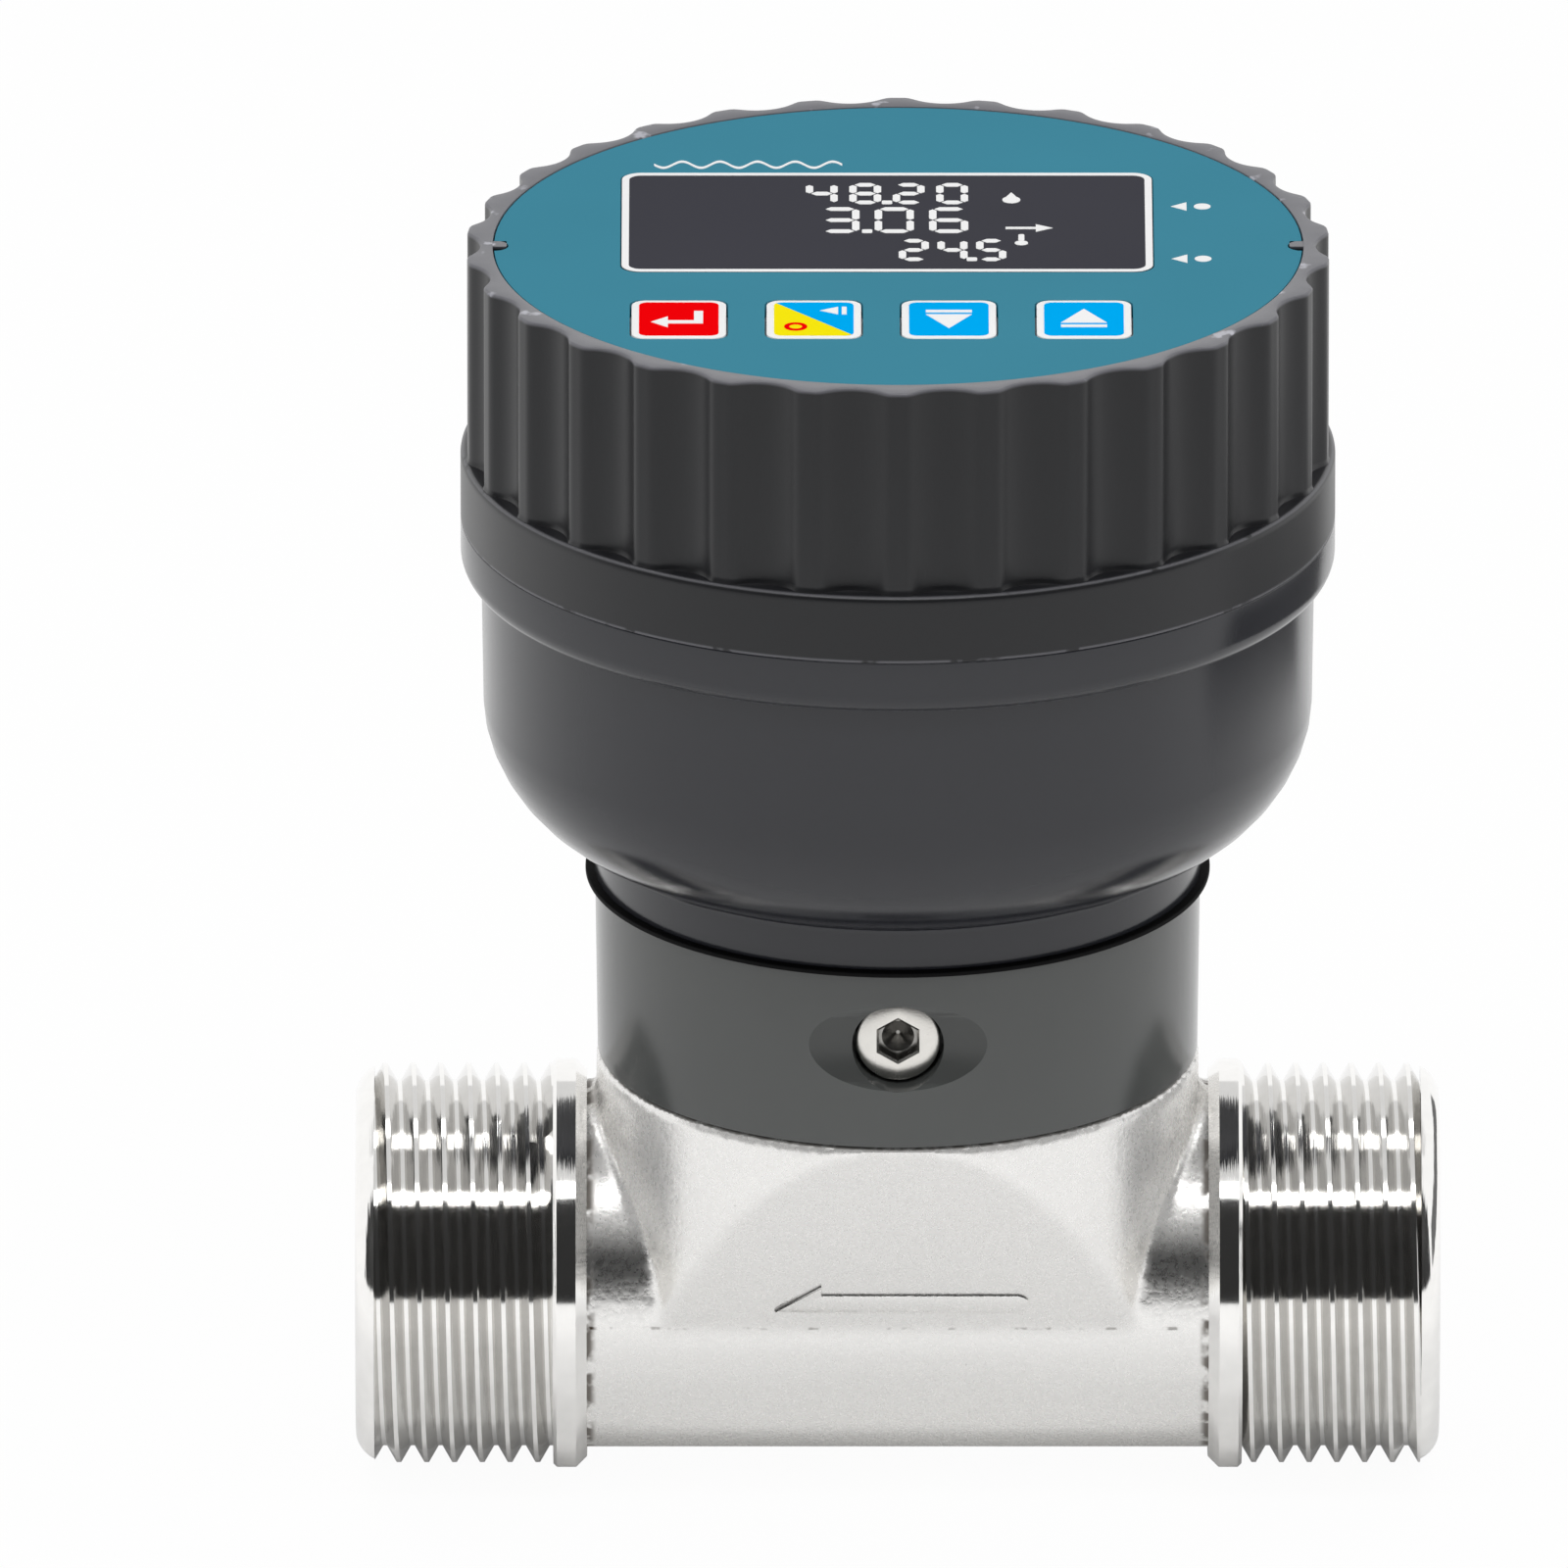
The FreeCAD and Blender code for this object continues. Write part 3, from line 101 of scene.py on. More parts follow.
# Where the object's axes lie in the reference picture, and how many of its pixels make a millimetre.
PICTURE_SIZE = 1600
PICTURE_SCALE = 12.306
HEAD_AXIS_PIXEL = 916
PIPE_AXIS_PIXEL = 1289.5
CAMERA_TILT = math.radians(20.55)
CAMERA_LENS = 1500.0
CAMERA_REACH = 20.0

# What the lamps aim at, the world's strength as a light, and the floor's share of white to the camera.
STAGE_MIDDLE = Vector((0, 0, 0.055))
WORLD_LIGHT = 0.44
FLOOR_WHITE = 0.96


def length(name, millimetres, description):
    """A length of the object, written in millimetres and kept in metres."""
    return FloatProperty(name=name, description=description, default=millimetres * MM, unit="LENGTH",
                         precision=5)


def count(name, number, description):
    """A number of like features."""
    return IntProperty(name=name, description=description, default=number, min=1)


def colour(name, red, green, blue, description):
    """A finish's base colour, in linear light."""
    return FloatVectorProperty(name=name, description=description, default=(red, green, blue), size=3,
                               subtype="COLOR", min=0.0, max=1.0)


class BodySizes(bpy.types.PropertyGroup):
    """Sizes of the cast and threaded pipe body."""
    pipe_radius: length("Pipe radius", 15.3, "Outside radius of the cast pipe")
    bore_radius: length("Bore radius", 12.0, "Inside radius at the inlet end")
    outlet_radius: length("Outlet radius", 11.0, "Inside radius at the outlet end")
    bore_chamfer: length("Bore chamfer", 0.4, "Chamfer of the bore's mouth")
    boss_radius: length("Boss radius", 25.0, "Radius of the round boss under the collar")
    boss_height: length("Boss height", 19.6, "Height of the boss over the pipe's axis")
    spigot_radius: length("Spigot radius", 16.8, "Radius of the spigot that the head turns on")
    spigot_edge: length("Spigot edge", 0.3, "Rounding of that spigot's top")
    spigot_root: length("Spigot root", 1.0, "How far that spigot's foot lies inside the boss")
    hollow_radius: length("Hollow radius", 13.5, "Inside radius of the spigot")
    shoulder_radius: length("Shoulder radius", 17.0, "Radius of the stop behind each thread")
    shoulder_width: length("Shoulder width", 2.8, "Length of the stop behind each thread")
    shoulder_start: length("Shoulder place", 25.8, "Distance from the head's axis to the stop's inner face")
    shoulder_chamfer: length("Shoulder chamfer", 0.9, "Chamfer of the stop's edge towards the boss")
    shoulder_edge: length("Shoulder edge", 0.3, "Chamfer of the stop's edge towards the thread")
    thread_pitch: length("Thread pitch", 2.309, "Advance of the pipe thread in one turn")
    thread_crest: length("Thread crest", 0.36, "Width of the thread's flat crest")
    thread_root: length("Thread root", 0.34, "Width of the thread's flat root")
    lead_in: length("Lead-in", 1.55, "Length of the plain ring in front of the thread")
    lead_in_drop: length("Lead-in drop", 2.3, "Radius lost over the plain ring")
    cast_grain: length("Cast mesh", 0.42, "Mesh size of the cast skin")
    arrow_height: length("Arrow height", 0.22, "Height of the cast flow arrow over the flat")
    arrow_root: length("Arrow root", 0.3, "How far the cast flow arrow reaches into the flat")
    arrow_edge: length("Arrow edge", 0.12, "Rounding of the cast flow arrow's edge")


class HeadSizes(bpy.types.PropertyGroup):
    """Sizes of the collar, the housing and the fluted bezel."""
    collar_edge: length("Collar edge", 0.07, "Rounding of the collar's edges")
    scoop_height: length("Scoop height", 8.4, "Height of the scoop round each clamp screw")
    # The scoop's own finish is a darker copy of the collar's plastic: painted shade in the recess.
    scoop_rim: length("Scoop rim", 0.25, "Depth at which the scoop's own finish starts")
    gasket: length("Gasket thickness", 0.42, "Thickness of the gasket under the neck")
    gasket_bore: length("Gasket bore", 13.0, "Inside radius of that gasket")
    gasket_margin: length("Gasket margin", 0.1, "How far that gasket stays inside its solid's radius")
    gasket_edge: length("Gasket edge", 0.12, "Rounding of that gasket's edge")
    neck_radius: length("Neck radius", 25.2, "Radius of the housing's neck")
    neck_edge: length("Neck edge", 0.1, "Rounding of the neck's foot")
    neck_fillet: length("Neck fillet", 1.0, "Fillet between neck and bell")
    bell_radius: length("Bell radius", 34.2, "Radius of the bell's wall")
    bell_corner: length("Bell corner", 11.2, "Radius of the bell's round corner")
    bell_corner_height: length("Bell corner height", 14.4, "Height of the corner's end over the neck's foot")
    bell_inside: length("Bell inside", 5.0, "Rounding of the corner inside the bell")
    flange_height: length("Flange height", 26.1, "Underside of the flange over the neck's foot")
    flange_lip: length("Flange lip", 1.7, "Step from the wall out to the flange")
    flange_fillet: length("Flange fillet", 0.25, "Fillet between the wall and the flange")
    flange_edge: length("Flange edge", 0.1, "Rounding of the edges where flange and bezel meet")
    wall: length("Wall", 2.7, "Wall of the housing")
    floor: length("Floor", 3.0, "Floor of the housing")
    probe_hole: length("Probe hole", 6.3, "Radius of the hole for the probe in that floor")
    spigot_radius: length("Bezel spigot", 33.0, "Radius of the spigot that carries the bezel")
    spigot_height: length("Bezel spigot height", 10.8, "Height of that spigot over the flange")
    spigot_edge: length("Bezel spigot edge", 0.4, "Rounding of that spigot's top")
    skirt_height: length("Skirt height", 5.8, "Height of the bezel's plain skirt")
    skirt_round: length("Skirt edge", 0.5, "Rounding of the skirt's edges")
    crest_step: length("Crest step", 0.45, "Step from the skirt in to the fluted grip")
    rim_round: length("Rim edge", 0.22, "Rounding of the bezel's rim")
    recess_radius: length("Recess radius", 33.5, "Radius of the recess that holds the panel")
    recess_edge: length("Recess edge", 0.1, "Rounding of the recess's edge")
    tab_width: length("Tab width", 1.3, "Width of the tab in each of the panel's notches")
    tab_reach: length("Tab reach", 1.15, "Reach of that tab in from the recess")
    tab_edge: length("Tab edge", 0.15, "Rounding of that tab's corners")
    seat_radius: length("Seat radius", 30.3, "Inside radius of the panel's seat")
    seat_top: length("Seat height", 19.9, "Top of the panel's seat over the bezel's foot")
    seat_thickness: length("Seat thickness", 2.5, "Thickness of the panel's seat")
    flute_count: count("Flutes", 30, "Number of flutes round the bezel")
    flute_depth: length("Flute depth", 1.2, "Depth of a flute")
    flute_radius: length("Flute radius", 4.0, "Radius of a flute's hollow")
    flute_lip: length("Flute lip", 0.45, "Softness of the edge between flute and crest")
    bezel_fit: length("Bezel fit", 0.3, "Gap between the bezel and its spigot")
    screw_count: count("Clamp screws", 3, "Number of screws round the collar")
    screw_head_height: length("Screw head", 4.0, "Height of a clamp screw's head")
    screw_shank: length("Screw shank", 2.0, "Radius of a clamp screw's shank")
    screw_tip: length("Screw tip", 15.5, "Distance from the head's axis to a clamp screw's tip")
    screw_edge: length("Screw edge", 0.2, "Rounding of a clamp screw's head")
    screw_hexagon: length("Screw hexagon", 3.15, "Width across flats of the hexagon")
    screw_countersink: length("Screw countersink", 0.2, "Chamfer round the hexagon")
    screw_socket: length("Screw socket", 1.2, "Depth of the hexagon")


class FaceSizes(bpy.types.PropertyGroup):
    """Sizes of the prints on the panel, the window and the keys."""
    print_height: length("Print height", 0.04, "Thickness of a print")
    border: length("Border", 0.6, "Width of the window's white border")
    window_corner: length("Window corner", 1.6, "Rounding of the window's corners")
    upright: length("Upright bar", 0.62, "Width of a figure's upright bars")
    level: length("Level bar", 0.86, "Width of a figure's level bars")
    key_width: length("Key width", 7.8, "Width of a key")
    key_depth: length("Key depth", 9.1, "Depth of a key")
    key_edge: length("Key edge", 0.06, "Rounding of a key's edge")
    key_border: length("Key border", 0.62, "White border round a key's field")
    key_corner: length("Key corner", 0.7, "Rounding of a key's field")


class MeterColours(bpy.types.PropertyGroup):
    """Colours of the finishes."""
    nickel: colour("Nickel", 0.95, 0.94, 0.92, "Plated body")
    # A dark brown for dirt along the casting's seam, also used for darkening in patches under the collar and
    # at the stops.
    dark_brown: colour("Soil", 0.085, 0.062, 0.042, "Grime in the casting's seams")
    housing: colour("Housing", 0.0215, 0.0225, 0.0275, "Moulded bell housing")
    bezel: colour("Bezel", 0.0105, 0.0109, 0.013, "Moulded fluted ring")
    # Paler grey for worn nicks, for the painted highlights on the bezel's rim and the flange's lower edge,
    # and for the pale lines at the bezel's ledge and foot.
    wear_and_highlight: colour("Wear", 0.088, 0.088, 0.098, "Rubbed edges of the moulded pieces")
    collar: colour("Collar", 0.078, 0.082, 0.080, "Moulded collar")
    rubber: colour("Rubber", 0.003, 0.003, 0.0033, "Seals and leads")
    steel: colour("Steel", 0.82, 0.80, 0.76, "Turned screws")
    panel: colour("Panel", 0.058, 0.255, 0.350, "Printed front panel")
    window: colour("Window", 0.058, 0.058, 0.070, "Dark display window")
    white: colour("White", 0.94, 0.94, 0.94, "White print")
    red: colour("Red", 0.93, 0.001, 0.003, "Red key")
    yellow: colour("Yellow", 1.0, 0.84, 0.006, "Yellow half of the second key")
    blue: colour("Blue", 0.0, 0.42, 0.93, "Blue keys")
    cartridge: colour("Cartridge", 0.66, 0.66, 0.63, "Moulded straightener, bearing support and probe")
    rotor: colour("Rotor", 0.06, 0.2, 0.45, "Moulded turbine wheel")
    bush: colour("Bush", 0.03, 0.03, 0.03, "Moulded bearing bushes")
    magnet: colour("Magnet", 0.3, 0.3, 0.32, "Ground magnets")
    board: colour("Board", 0.02, 0.16, 0.06, "Display board")
    wrap: colour("Wrap", 0.42, 0.43, 0.45, "Battery's shrink wrap")
    contact: colour("Contact", 0.7, 0.52, 0.22, "Battery contacts")


class Wire:
    """A shader socket that takes part in sums: each operator adds a Math node."""

    def __init__(self, nodes, socket):
        self.nodes = nodes
        self.socket = socket

    def __add__(self, other):
        return self.nodes.maths("ADD", self, other)

    def __radd__(self, other):
        return self.nodes.maths("ADD", other, self)

    def __sub__(self, other):
        return self.nodes.maths("SUBTRACT", self, other)

    def __rsub__(self, other):
        return self.nodes.maths("SUBTRACT", other, self)

    def __mul__(self, other):
        return self.nodes.maths("MULTIPLY", self, other)

    def __rmul__(self, other):
        return self.nodes.maths("MULTIPLY", other, self)


class Nodes:
    """A node tree under construction."""

    def __init__(self, tree):
        self.tree = tree

    def node(self, kind, settings=None, sockets=None, output=0):
        """Add a node with its settings and its sockets' values or links, and return one of its outputs."""
        made = self.tree.nodes.new(kind)
        for name, value in (settings or {}).items():
            setattr(made, name, value)
        for name, value in (sockets or {}).items():
            self.feed(made.inputs[name], value)
        return Wire(self, made.outputs[output])

    def feed(self, socket, value):
        """Link a wire to a socket, or set the socket's own value."""
        if isinstance(value, Wire):
            self.tree.links.new(value.socket, socket)
        else:
            socket.default_value = value

    def maths(self, operation, *values):
        """Work a sum on values."""
        return self.node("ShaderNodeMath", {"operation": operation}, dict(enumerate(values)))

    def vectors(self, operation, *values, output=0):
        """Work a sum on vectors."""
        return self.node("ShaderNodeVectorMath", {"operation": operation}, dict(enumerate(values)), output)

    def looked_at(self, by_camera, by_mirrors):
        """One value for the camera and another for mirrors and clear pieces; 0 for all other light."""
        value = self.node("ShaderNodeLightPath", output="Is Camera Ray") * by_camera
        for ray in ("Is Glossy Ray", "Is Transmission Ray"):
            value = self.maths("MAXIMUM", value, self.node("ShaderNodeLightPath", output=ray) * by_mirrors)
        return value


class Finish(Nodes):
    """A material under construction, built round one Principled shader."""

    def __init__(self, name):
        self.material = bpy.data.materials.new(name)
        self.material.use_nodes = True
        super().__init__(self.material.node_tree)
        self.shader = self.tree.nodes["Principled BSDF"]
        self.place = self.node("ShaderNodeTexCoord", output="Object")

    def noise(self, grain, detail=2.0, stretch=(1, 1, 1)):
        """Soft noise whose spots are about as large as the grain, in metres."""
        placed = self.node("ShaderNodeMapping", sockets={"Vector": self.place, "Scale": stretch})
        return self.node("ShaderNodeTexNoise", sockets={
            "Vector": placed, "Scale": 1 / grain, "Detail": detail,
        })

    def ramp(self, value, low, high, bottom=0.0, top=1.0):
        """Ease a value from bottom to top as it runs from low to high."""
        return self.node("ShaderNodeMapRange", {"interpolation_type": "SMOOTHSTEP"}, {
            "Value": value, "From Min": low, "From Max": high, "To Min": bottom, "To Max": top,
        })

    def measure(self, axis):
        """How far a point lies from the origin along an axis, either way."""
        along = self.node("ShaderNodeSeparateXYZ", sockets={"Vector": self.place}, output=axis)
        return self.maths("ABSOLUTE", along)

    def near_level(self, level, reach, axis="Z"):
        """A value that is 1 at a distance along an axis and fades out within a reach."""
        core = 0.2 * reach
        return self.ramp(self.maths("ABSOLUTE", self.measure(axis) - level), reach, core)

    def blend(self, share, first, second):
        """Mix two colours; a Mix node's colour inputs have the numbers 6 and 7, and its colour output 2."""
        return self.node("ShaderNodeMix", {"data_type": "RGBA"}, {0: share, 6: first, 7: second}, output=2)

    def bump(self, height, depth):
        """Turn a height from 0 to 1 into a bumped normal; depth is in metres."""
        return self.node("ShaderNodeBump", sockets={"Height": height, "Distance": depth, "Strength": 1.0})

    def surface(self, **sockets):
        """Feed the shader's sockets, named with underscores for spaces, and return the material."""
        for name, value in sockets.items():
            self.feed(self.shader.inputs[name.replace("_", " ")], value)
        return self.material


def shade(tint, factor=1.0):
    """A colour made darker or lighter, with full alpha."""
    return tuple(min(part * factor, 1.0) for part in tuple(tint)[:3]) + (1.0,)


def grey(tone):
    """A colourless tone with full alpha."""
    return (tone, tone, tone, 1.0)


def finish_once(maker):
    """Make each named material only once."""
    def cached(name, *details, **settings):
        return bpy.data.materials.get(name) or maker(name, *details, **settings)
    return cached


@finish_once
def cast_nickel(name, tint, dark_brown, joint):
    """Plated cast skin, duller on the boss, with pits, dirt along the seam, and brownish darkening in patches
    under the collar and at the stops.
    """
    finish = Finish(name)
    peel = finish.noise(0.45 * MM)
    swell = finish.noise(1.5 * MM, detail=1.0)
    pits = finish.ramp(finish.noise(0.9 * MM, detail=1.0), 0.2, 0.13)
    patches = finish.noise(1.3 * MM, detail=3.0)
    streaks = finish.noise(2.4 * MM, detail=3.0)
    seam = finish.near_level(PIPE_AXIS.z, 0.2 * MM) * finish.ramp(patches, 0.52, 0.7)
    # Brownish darkening in patches along the boss's top edge under the collar and along the corners at the
    # stops.
    brim = finish.near_level(COLLAR_BASE, 0.5 * MM) * finish.ramp(patches, 0.34, 0.56)
    stop = finish.near_level(joint, 0.9 * MM, "X") * finish.ramp(streaks, 0.46, 0.58)
    darkening = seam * 0.5 + brim * 0.85 + stop * 0.8
    height = peel * 0.55 + swell * 0.5 - pits * 0.4 - seam * 0.5
    tone = finish.blend(swell, shade(tint, 0.97), shade(tint, 1.01))
    pitted = finish.blend(pits * 0.4, tone, shade(tint, 0.3))
    bright_up_to, dull_from = PIPE_AXIS.z + 5.5 * MM, PIPE_AXIS.z + 9 * MM
    return finish.surface(
        Base_Color=finish.blend(darkening, pitted, shade(dark_brown)),
        Metallic=finish.ramp(finish.measure("Z"), bright_up_to, dull_from, 1.0, 0.58),
        Roughness=0.2 + peel * 0.16 + pits * 0.2 + darkening * 0.3,
        Normal=finish.bump(height, 0.042 * MM),
    )


@finish_once
def turned_nickel(name, tint):
    """Plated turned surface with fine tool marks round the axis."""
    finish = Finish(name)
    marks = finish.noise(0.12 * MM, stretch=(1.0, 0.03, 0.03))
    stains = finish.noise(1.6 * MM)
    return finish.surface(
        Base_Color=finish.blend(stains, shade(tint, 0.93), shade(tint, 1.04)), Metallic=1.0,
        Roughness=0.03 + marks * 0.08 + stains * 0.04, Normal=finish.bump(marks, 0.008 * MM),
    )


@finish_once
def moulded(name, tint, rough, grain, wear_and_highlight=None, levels=()):
    """Fine-grained plastic, made paler in bands at levels, some worn and some a painted highlight: each has a
    height, a reach, gaps and a paleness.
    """
    finish = Finish(name)
    fine = finish.noise(0.16 * MM)
    broad = finish.noise(9 * MM)
    tone = finish.blend(broad, shade(tint, 0.92), shade(tint, 1.08))
    for level, reach, gaps, paleness in levels:
        # Each level blends towards the paler grey in a broken band, as worn edges or as painted highlight.
        broken_band = finish.ramp(finish.noise(2.5 * MM, detail=3.0), gaps, gaps + 0.08)
        tone = finish.blend(finish.near_level(level, reach) * broken_band, tone, shade(wear_and_highlight, paleness))
    return finish.surface(
        Base_Color=tone, Roughness=rough - 0.04 + broad * 0.06 + fine * 0.04,
        Normal=finish.bump(fine, grain),
    )


def bezel_plastic(colours, sizes):
    """The fluted ring's plastic, with a painted highlight over its rim's top, pale broken lines along its
    ledge and, in places, its foot, and worn pale nicks by the rim's edge.
    """
    ledge = BEZEL_BASE + sizes.skirt_height
    # The rim's band is a painted highlight with no gaps; the ledge and foot bands are pale broken lines; the
    # last band is worn nicks.
    levels = ((BEZEL_TOP, 0.4 * MM, 0.0, 1.6), (ledge - 0.12 * MM, 0.14 * MM, 0.3, 1.0),
              (BEZEL_BASE + 0.12 * MM, 0.2 * MM, 0.34, 1.1), (BEZEL_TOP - 0.1 * MM, 0.22 * MM, 0.63, 6.0))
    return moulded("bezel_plastic", colours.bezel, 0.34, 0.006 * MM, colours.wear_and_highlight, levels)


def housing_plastic(colours, sizes):
    """The bell's plastic, with a painted highlight along the lower edge of its flange."""
    # A pale band just above the flange's underside: painted highlight.
    levels = ((HOUSING_BASE + sizes.flange_height + 0.08 * MM, 0.15 * MM, 0.2, 1.7),)
    return moulded("housing_plastic", colours.housing, 0.16, 0.006 * MM, colours.wear_and_highlight, levels)


def collar_plastic(colours):
    """The collar's plain, smooth plastic."""
    return moulded("collar_plastic", colours.collar, 0.16, 0.006 * MM)


@finish_once
def rubbery(name, tint):
    """Dull black rubber."""
    finish = Finish(name)
    dust = finish.noise(0.5 * MM, detail=3.0)
    return finish.surface(
        Base_Color=finish.blend(dust, shade(tint, 0.8), shade(tint, 1.6)), Roughness=0.62 + dust * 0.15,
        Specular_IOR_Level=0.12, Normal=finish.bump(dust, 0.02 * MM),
    )


@finish_once
def turned_steel(name, tint):
    """Bright turned steel."""
    finish = Finish(name)
    marks = finish.noise(0.2 * MM, detail=3.0)
    smear = finish.noise(1.4 * MM)
    return finish.surface(
        Base_Color=finish.blend(smear, shade(tint, 0.86), shade(tint, 1.1)), Metallic=1.0,
        Roughness=0.18 + smear * 0.14, Normal=finish.bump(marks, 0.006 * MM),
    )


@finish_once
def printed(name, tint, rough=0.5):
    """Printed film: even colour without gloss, and a faint tooth."""
    finish = Finish(name)
    tooth = finish.noise(0.25 * MM)
    cloud = finish.noise(14 * MM, detail=1.0)
    return finish.surface(
        Base_Color=finish.blend(cloud, shade(tint, 0.96), shade(tint, 1.04)), Roughness=rough + tooth * 0.08,
        Specular_IOR_Level=0.0, Normal=finish.bump(tooth, 0.004 * MM),
    )


def tidy(shape):
    """Merge doubles and point all faces outwards."""
    bmesh.ops.remove_doubles(shape, verts=shape.verts[:], dist=MERGE)
    bmesh.ops.dissolve_degenerate(shape, edges=shape.edges[:], dist=MERGE * 0.1)
    bmesh.ops.recalc_face_normals(shape, faces=shape.faces[:])
    return shape


def only(kind, items):
    """The vertices or the edges among an operator's results."""
    return [item for item in items if isinstance(item, kind)]


def mesh_of(shape, name):
    """Turn a shape into a mesh."""
    mesh = bpy.data.meshes.new(name)
    shape.to_mesh(mesh)
    shape.free()
    return mesh


def linked(name, data):
    """Put data into the scene as an object at the origin."""
    thing = bpy.data.objects.new(name, data)
    bpy.context.scene.collection.objects.link(thing)
    return thing


def joined(*shapes):
    """Put several shapes, each in its own material, into one."""
    whole = bmesh.new()
    for shape in shapes:
        mesh = mesh_of(shape, "joined")
        whole.from_mesh(mesh)
        bpy.data.meshes.remove(mesh)
    return whole


def painted(shape, index, test=None):
    """Give a shape's faces, or those that pass a test, one of its piece's materials."""
    for face in shape.faces:
        if test is None or test(face):
            face.material_index = index
    return shape


def new_piece(shape, name, body, materials, nodes=(), sharp=32.0):
    """Make a shape into a piece in its materials that rides on a body and stands for CAD nodes, which it
    hides.
    """
    mesh = mesh_of(shape, name)
    for material in materials:
        mesh.materials.append(material)
    mesh.shade_smooth()
    mesh.set_sharp_from_angle(angle=math.radians(sharp))
    piece = linked(name, mesh)
    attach(piece, body)
    if nodes:
        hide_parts(*nodes)
    return piece


def rounded_face(corners, place):
    """Draw one face from its corners, each with a rounding; place turns two measures into a point."""
    shape = bmesh.new()
    spots = [shape.verts.new(place(first, second)) for first, second, rounding in corners]
    shape.faces.new(spots)
    for spot, (first, second, rounding) in zip(spots, corners):
        if rounding:
            bmesh.ops.bevel(shape, geom=[spot], offset=rounding, offset_type="OFFSET", affect="VERTICES",
                            segments=CORNER_STEPS, profile=0.5, material=-1, clamp_overlap=False)
    return shape


def outline_only(shape):
    """Keep the edges of a face alone."""
    bmesh.ops.delete(shape, geom=shape.faces[:], context="FACES_ONLY")
    return shape


def turned(corners):
    """Spin a closed section round Z; each corner is a radius, a height and a rounding."""
    shape = outline_only(rounded_face(corners, lambda radius, height: (radius, 0, height)))
    bmesh.ops.spin(shape, geom=shape.verts[:] + shape.edges[:], axis=(0, 0, 1), cent=(0, 0, 0),
                   angle=math.tau, steps=ROUND_STEPS, use_merge=True)
    return tidy(shape)


def raised(shape, height):
    """Extrude all of a flat shape upwards."""
    made = bmesh.ops.extrude_face_region(shape, geom=shape.faces[:])["geom"]
    bmesh.ops.translate(shape, verts=only(bmesh.types.BMVert, made), vec=(0, 0, height))
    return tidy(shape)


def plate(corners, low, high):
    """A face drawn on XY and extruded from one height to another."""
    return raised(rounded_face(corners, lambda x, y: (x, y, low)), high - low)


def outline_plate(corners, line, low, high):
    """A raised outline of one line width."""
    shape = rounded_face(corners, lambda x, y: (x, y, low))
    bmesh.ops.recalc_face_normals(shape, faces=shape.faces[:])
    inside = shape.faces[:]
    bmesh.ops.inset_region(shape, faces=inside, thickness=line, use_boundary=True, use_even_offset=True)
    bmesh.ops.delete(shape, geom=inside, context="FACES")
    return raised(shape, high - low)


def rounded_edges(shape, edges, offset, clamp=False):
    """Round some of a shape's edges."""
    bmesh.ops.bevel(shape, geom=edges, offset=offset, offset_type="OFFSET", affect="EDGES",
                    segments=EDGE_STEPS, profile=0.5, material=-1, clamp_overlap=clamp)
    return shape


def cut_off(shape, point, normal, close=False):
    """Cut away what lies beyond a plane, and close the cut if asked."""
    cut = bmesh.ops.bisect_plane(shape, geom=shape.verts[:] + shape.edges[:] + shape.faces[:], dist=MERGE,
                                 plane_co=point, plane_no=normal, clear_outer=True)["geom_cut"]
    if close:
        bmesh.ops.holes_fill(shape, edges=only(bmesh.types.BMEdge, cut))
    return shape


def box_corners(x, y, width, depth, corner=0.0):
    """Corners of a rectangle about a centre, all with one rounding."""
    return [(x + side * width / 2, y + way * depth / 2, corner)
            for side, way in ((-1, -1), (1, -1), (1, 1), (-1, 1))]


def disc_corners(x, y, radius, sides=32):
    """Corners of a round spot."""
    turns = [math.tau * step / sides for step in range(sides)]
    return [(x + radius * math.cos(turn), y + radius * math.sin(turn), 0) for turn in turns]


def open_loops(shape):
    """Edges on the shape's open rims."""
    return [line for line in shape.edges if len(line.link_faces) == 1]


def extruded_rim(shape, rim):
    """Extrude a rim's edges, and return the new rim and its spots."""
    made = bmesh.ops.extrude_edge_only(shape, edges=rim)["geom"]
    return only(bmesh.types.BMEdge, made), only(bmesh.types.BMVert, made)


def drawn_out(shape, rim, stations):
    """Extrude a rim round X through stations, each an x and a radius, and return the last rim."""
    for x, radius in stations:
        rim, spots = extruded_rim(shape, rim)
        for spot in spots:
            around = Vector((0, spot.co.y, spot.co.z)).normalized()
            spot.co = around * radius + Vector((x, 0, 0))
    return rim


def thread_section(sizes, start, turns):
    """Draw the thread's flat-topped zigzag as a wire in the XZ plane, its crests at the thread's radius."""
    pitch, crest, root = sizes.thread_pitch, sizes.thread_crest, sizes.thread_root
    floor = THREAD_RADIUS - (pitch - crest - root) / 2 * math.tan(THREAD_FLANK)
    end = start + turns * pitch
    corners = [(start, THREAD_CORE, 0), (start, floor, 0)]
    for turn in range(turns):
        foot = start + turn * pitch
        top = foot + pitch / 2
        corners += [(foot + root / 2, floor, 0), (top - crest / 2, THREAD_RADIUS, 0),
                    (top + crest / 2, THREAD_RADIUS, 0), (foot + pitch - root / 2, floor, 0)]
    corners += [(end, floor, 0), (end, THREAD_CORE, 0)]
    shape = outline_only(rounded_face(corners, lambda x, radius: (x, 0, radius)))
    inside = [spot for spot in shape.verts if spot.co.z < THREAD_CORE + MERGE]
    bmesh.ops.delete(shape, geom=inside, context="VERTS")
    return shape


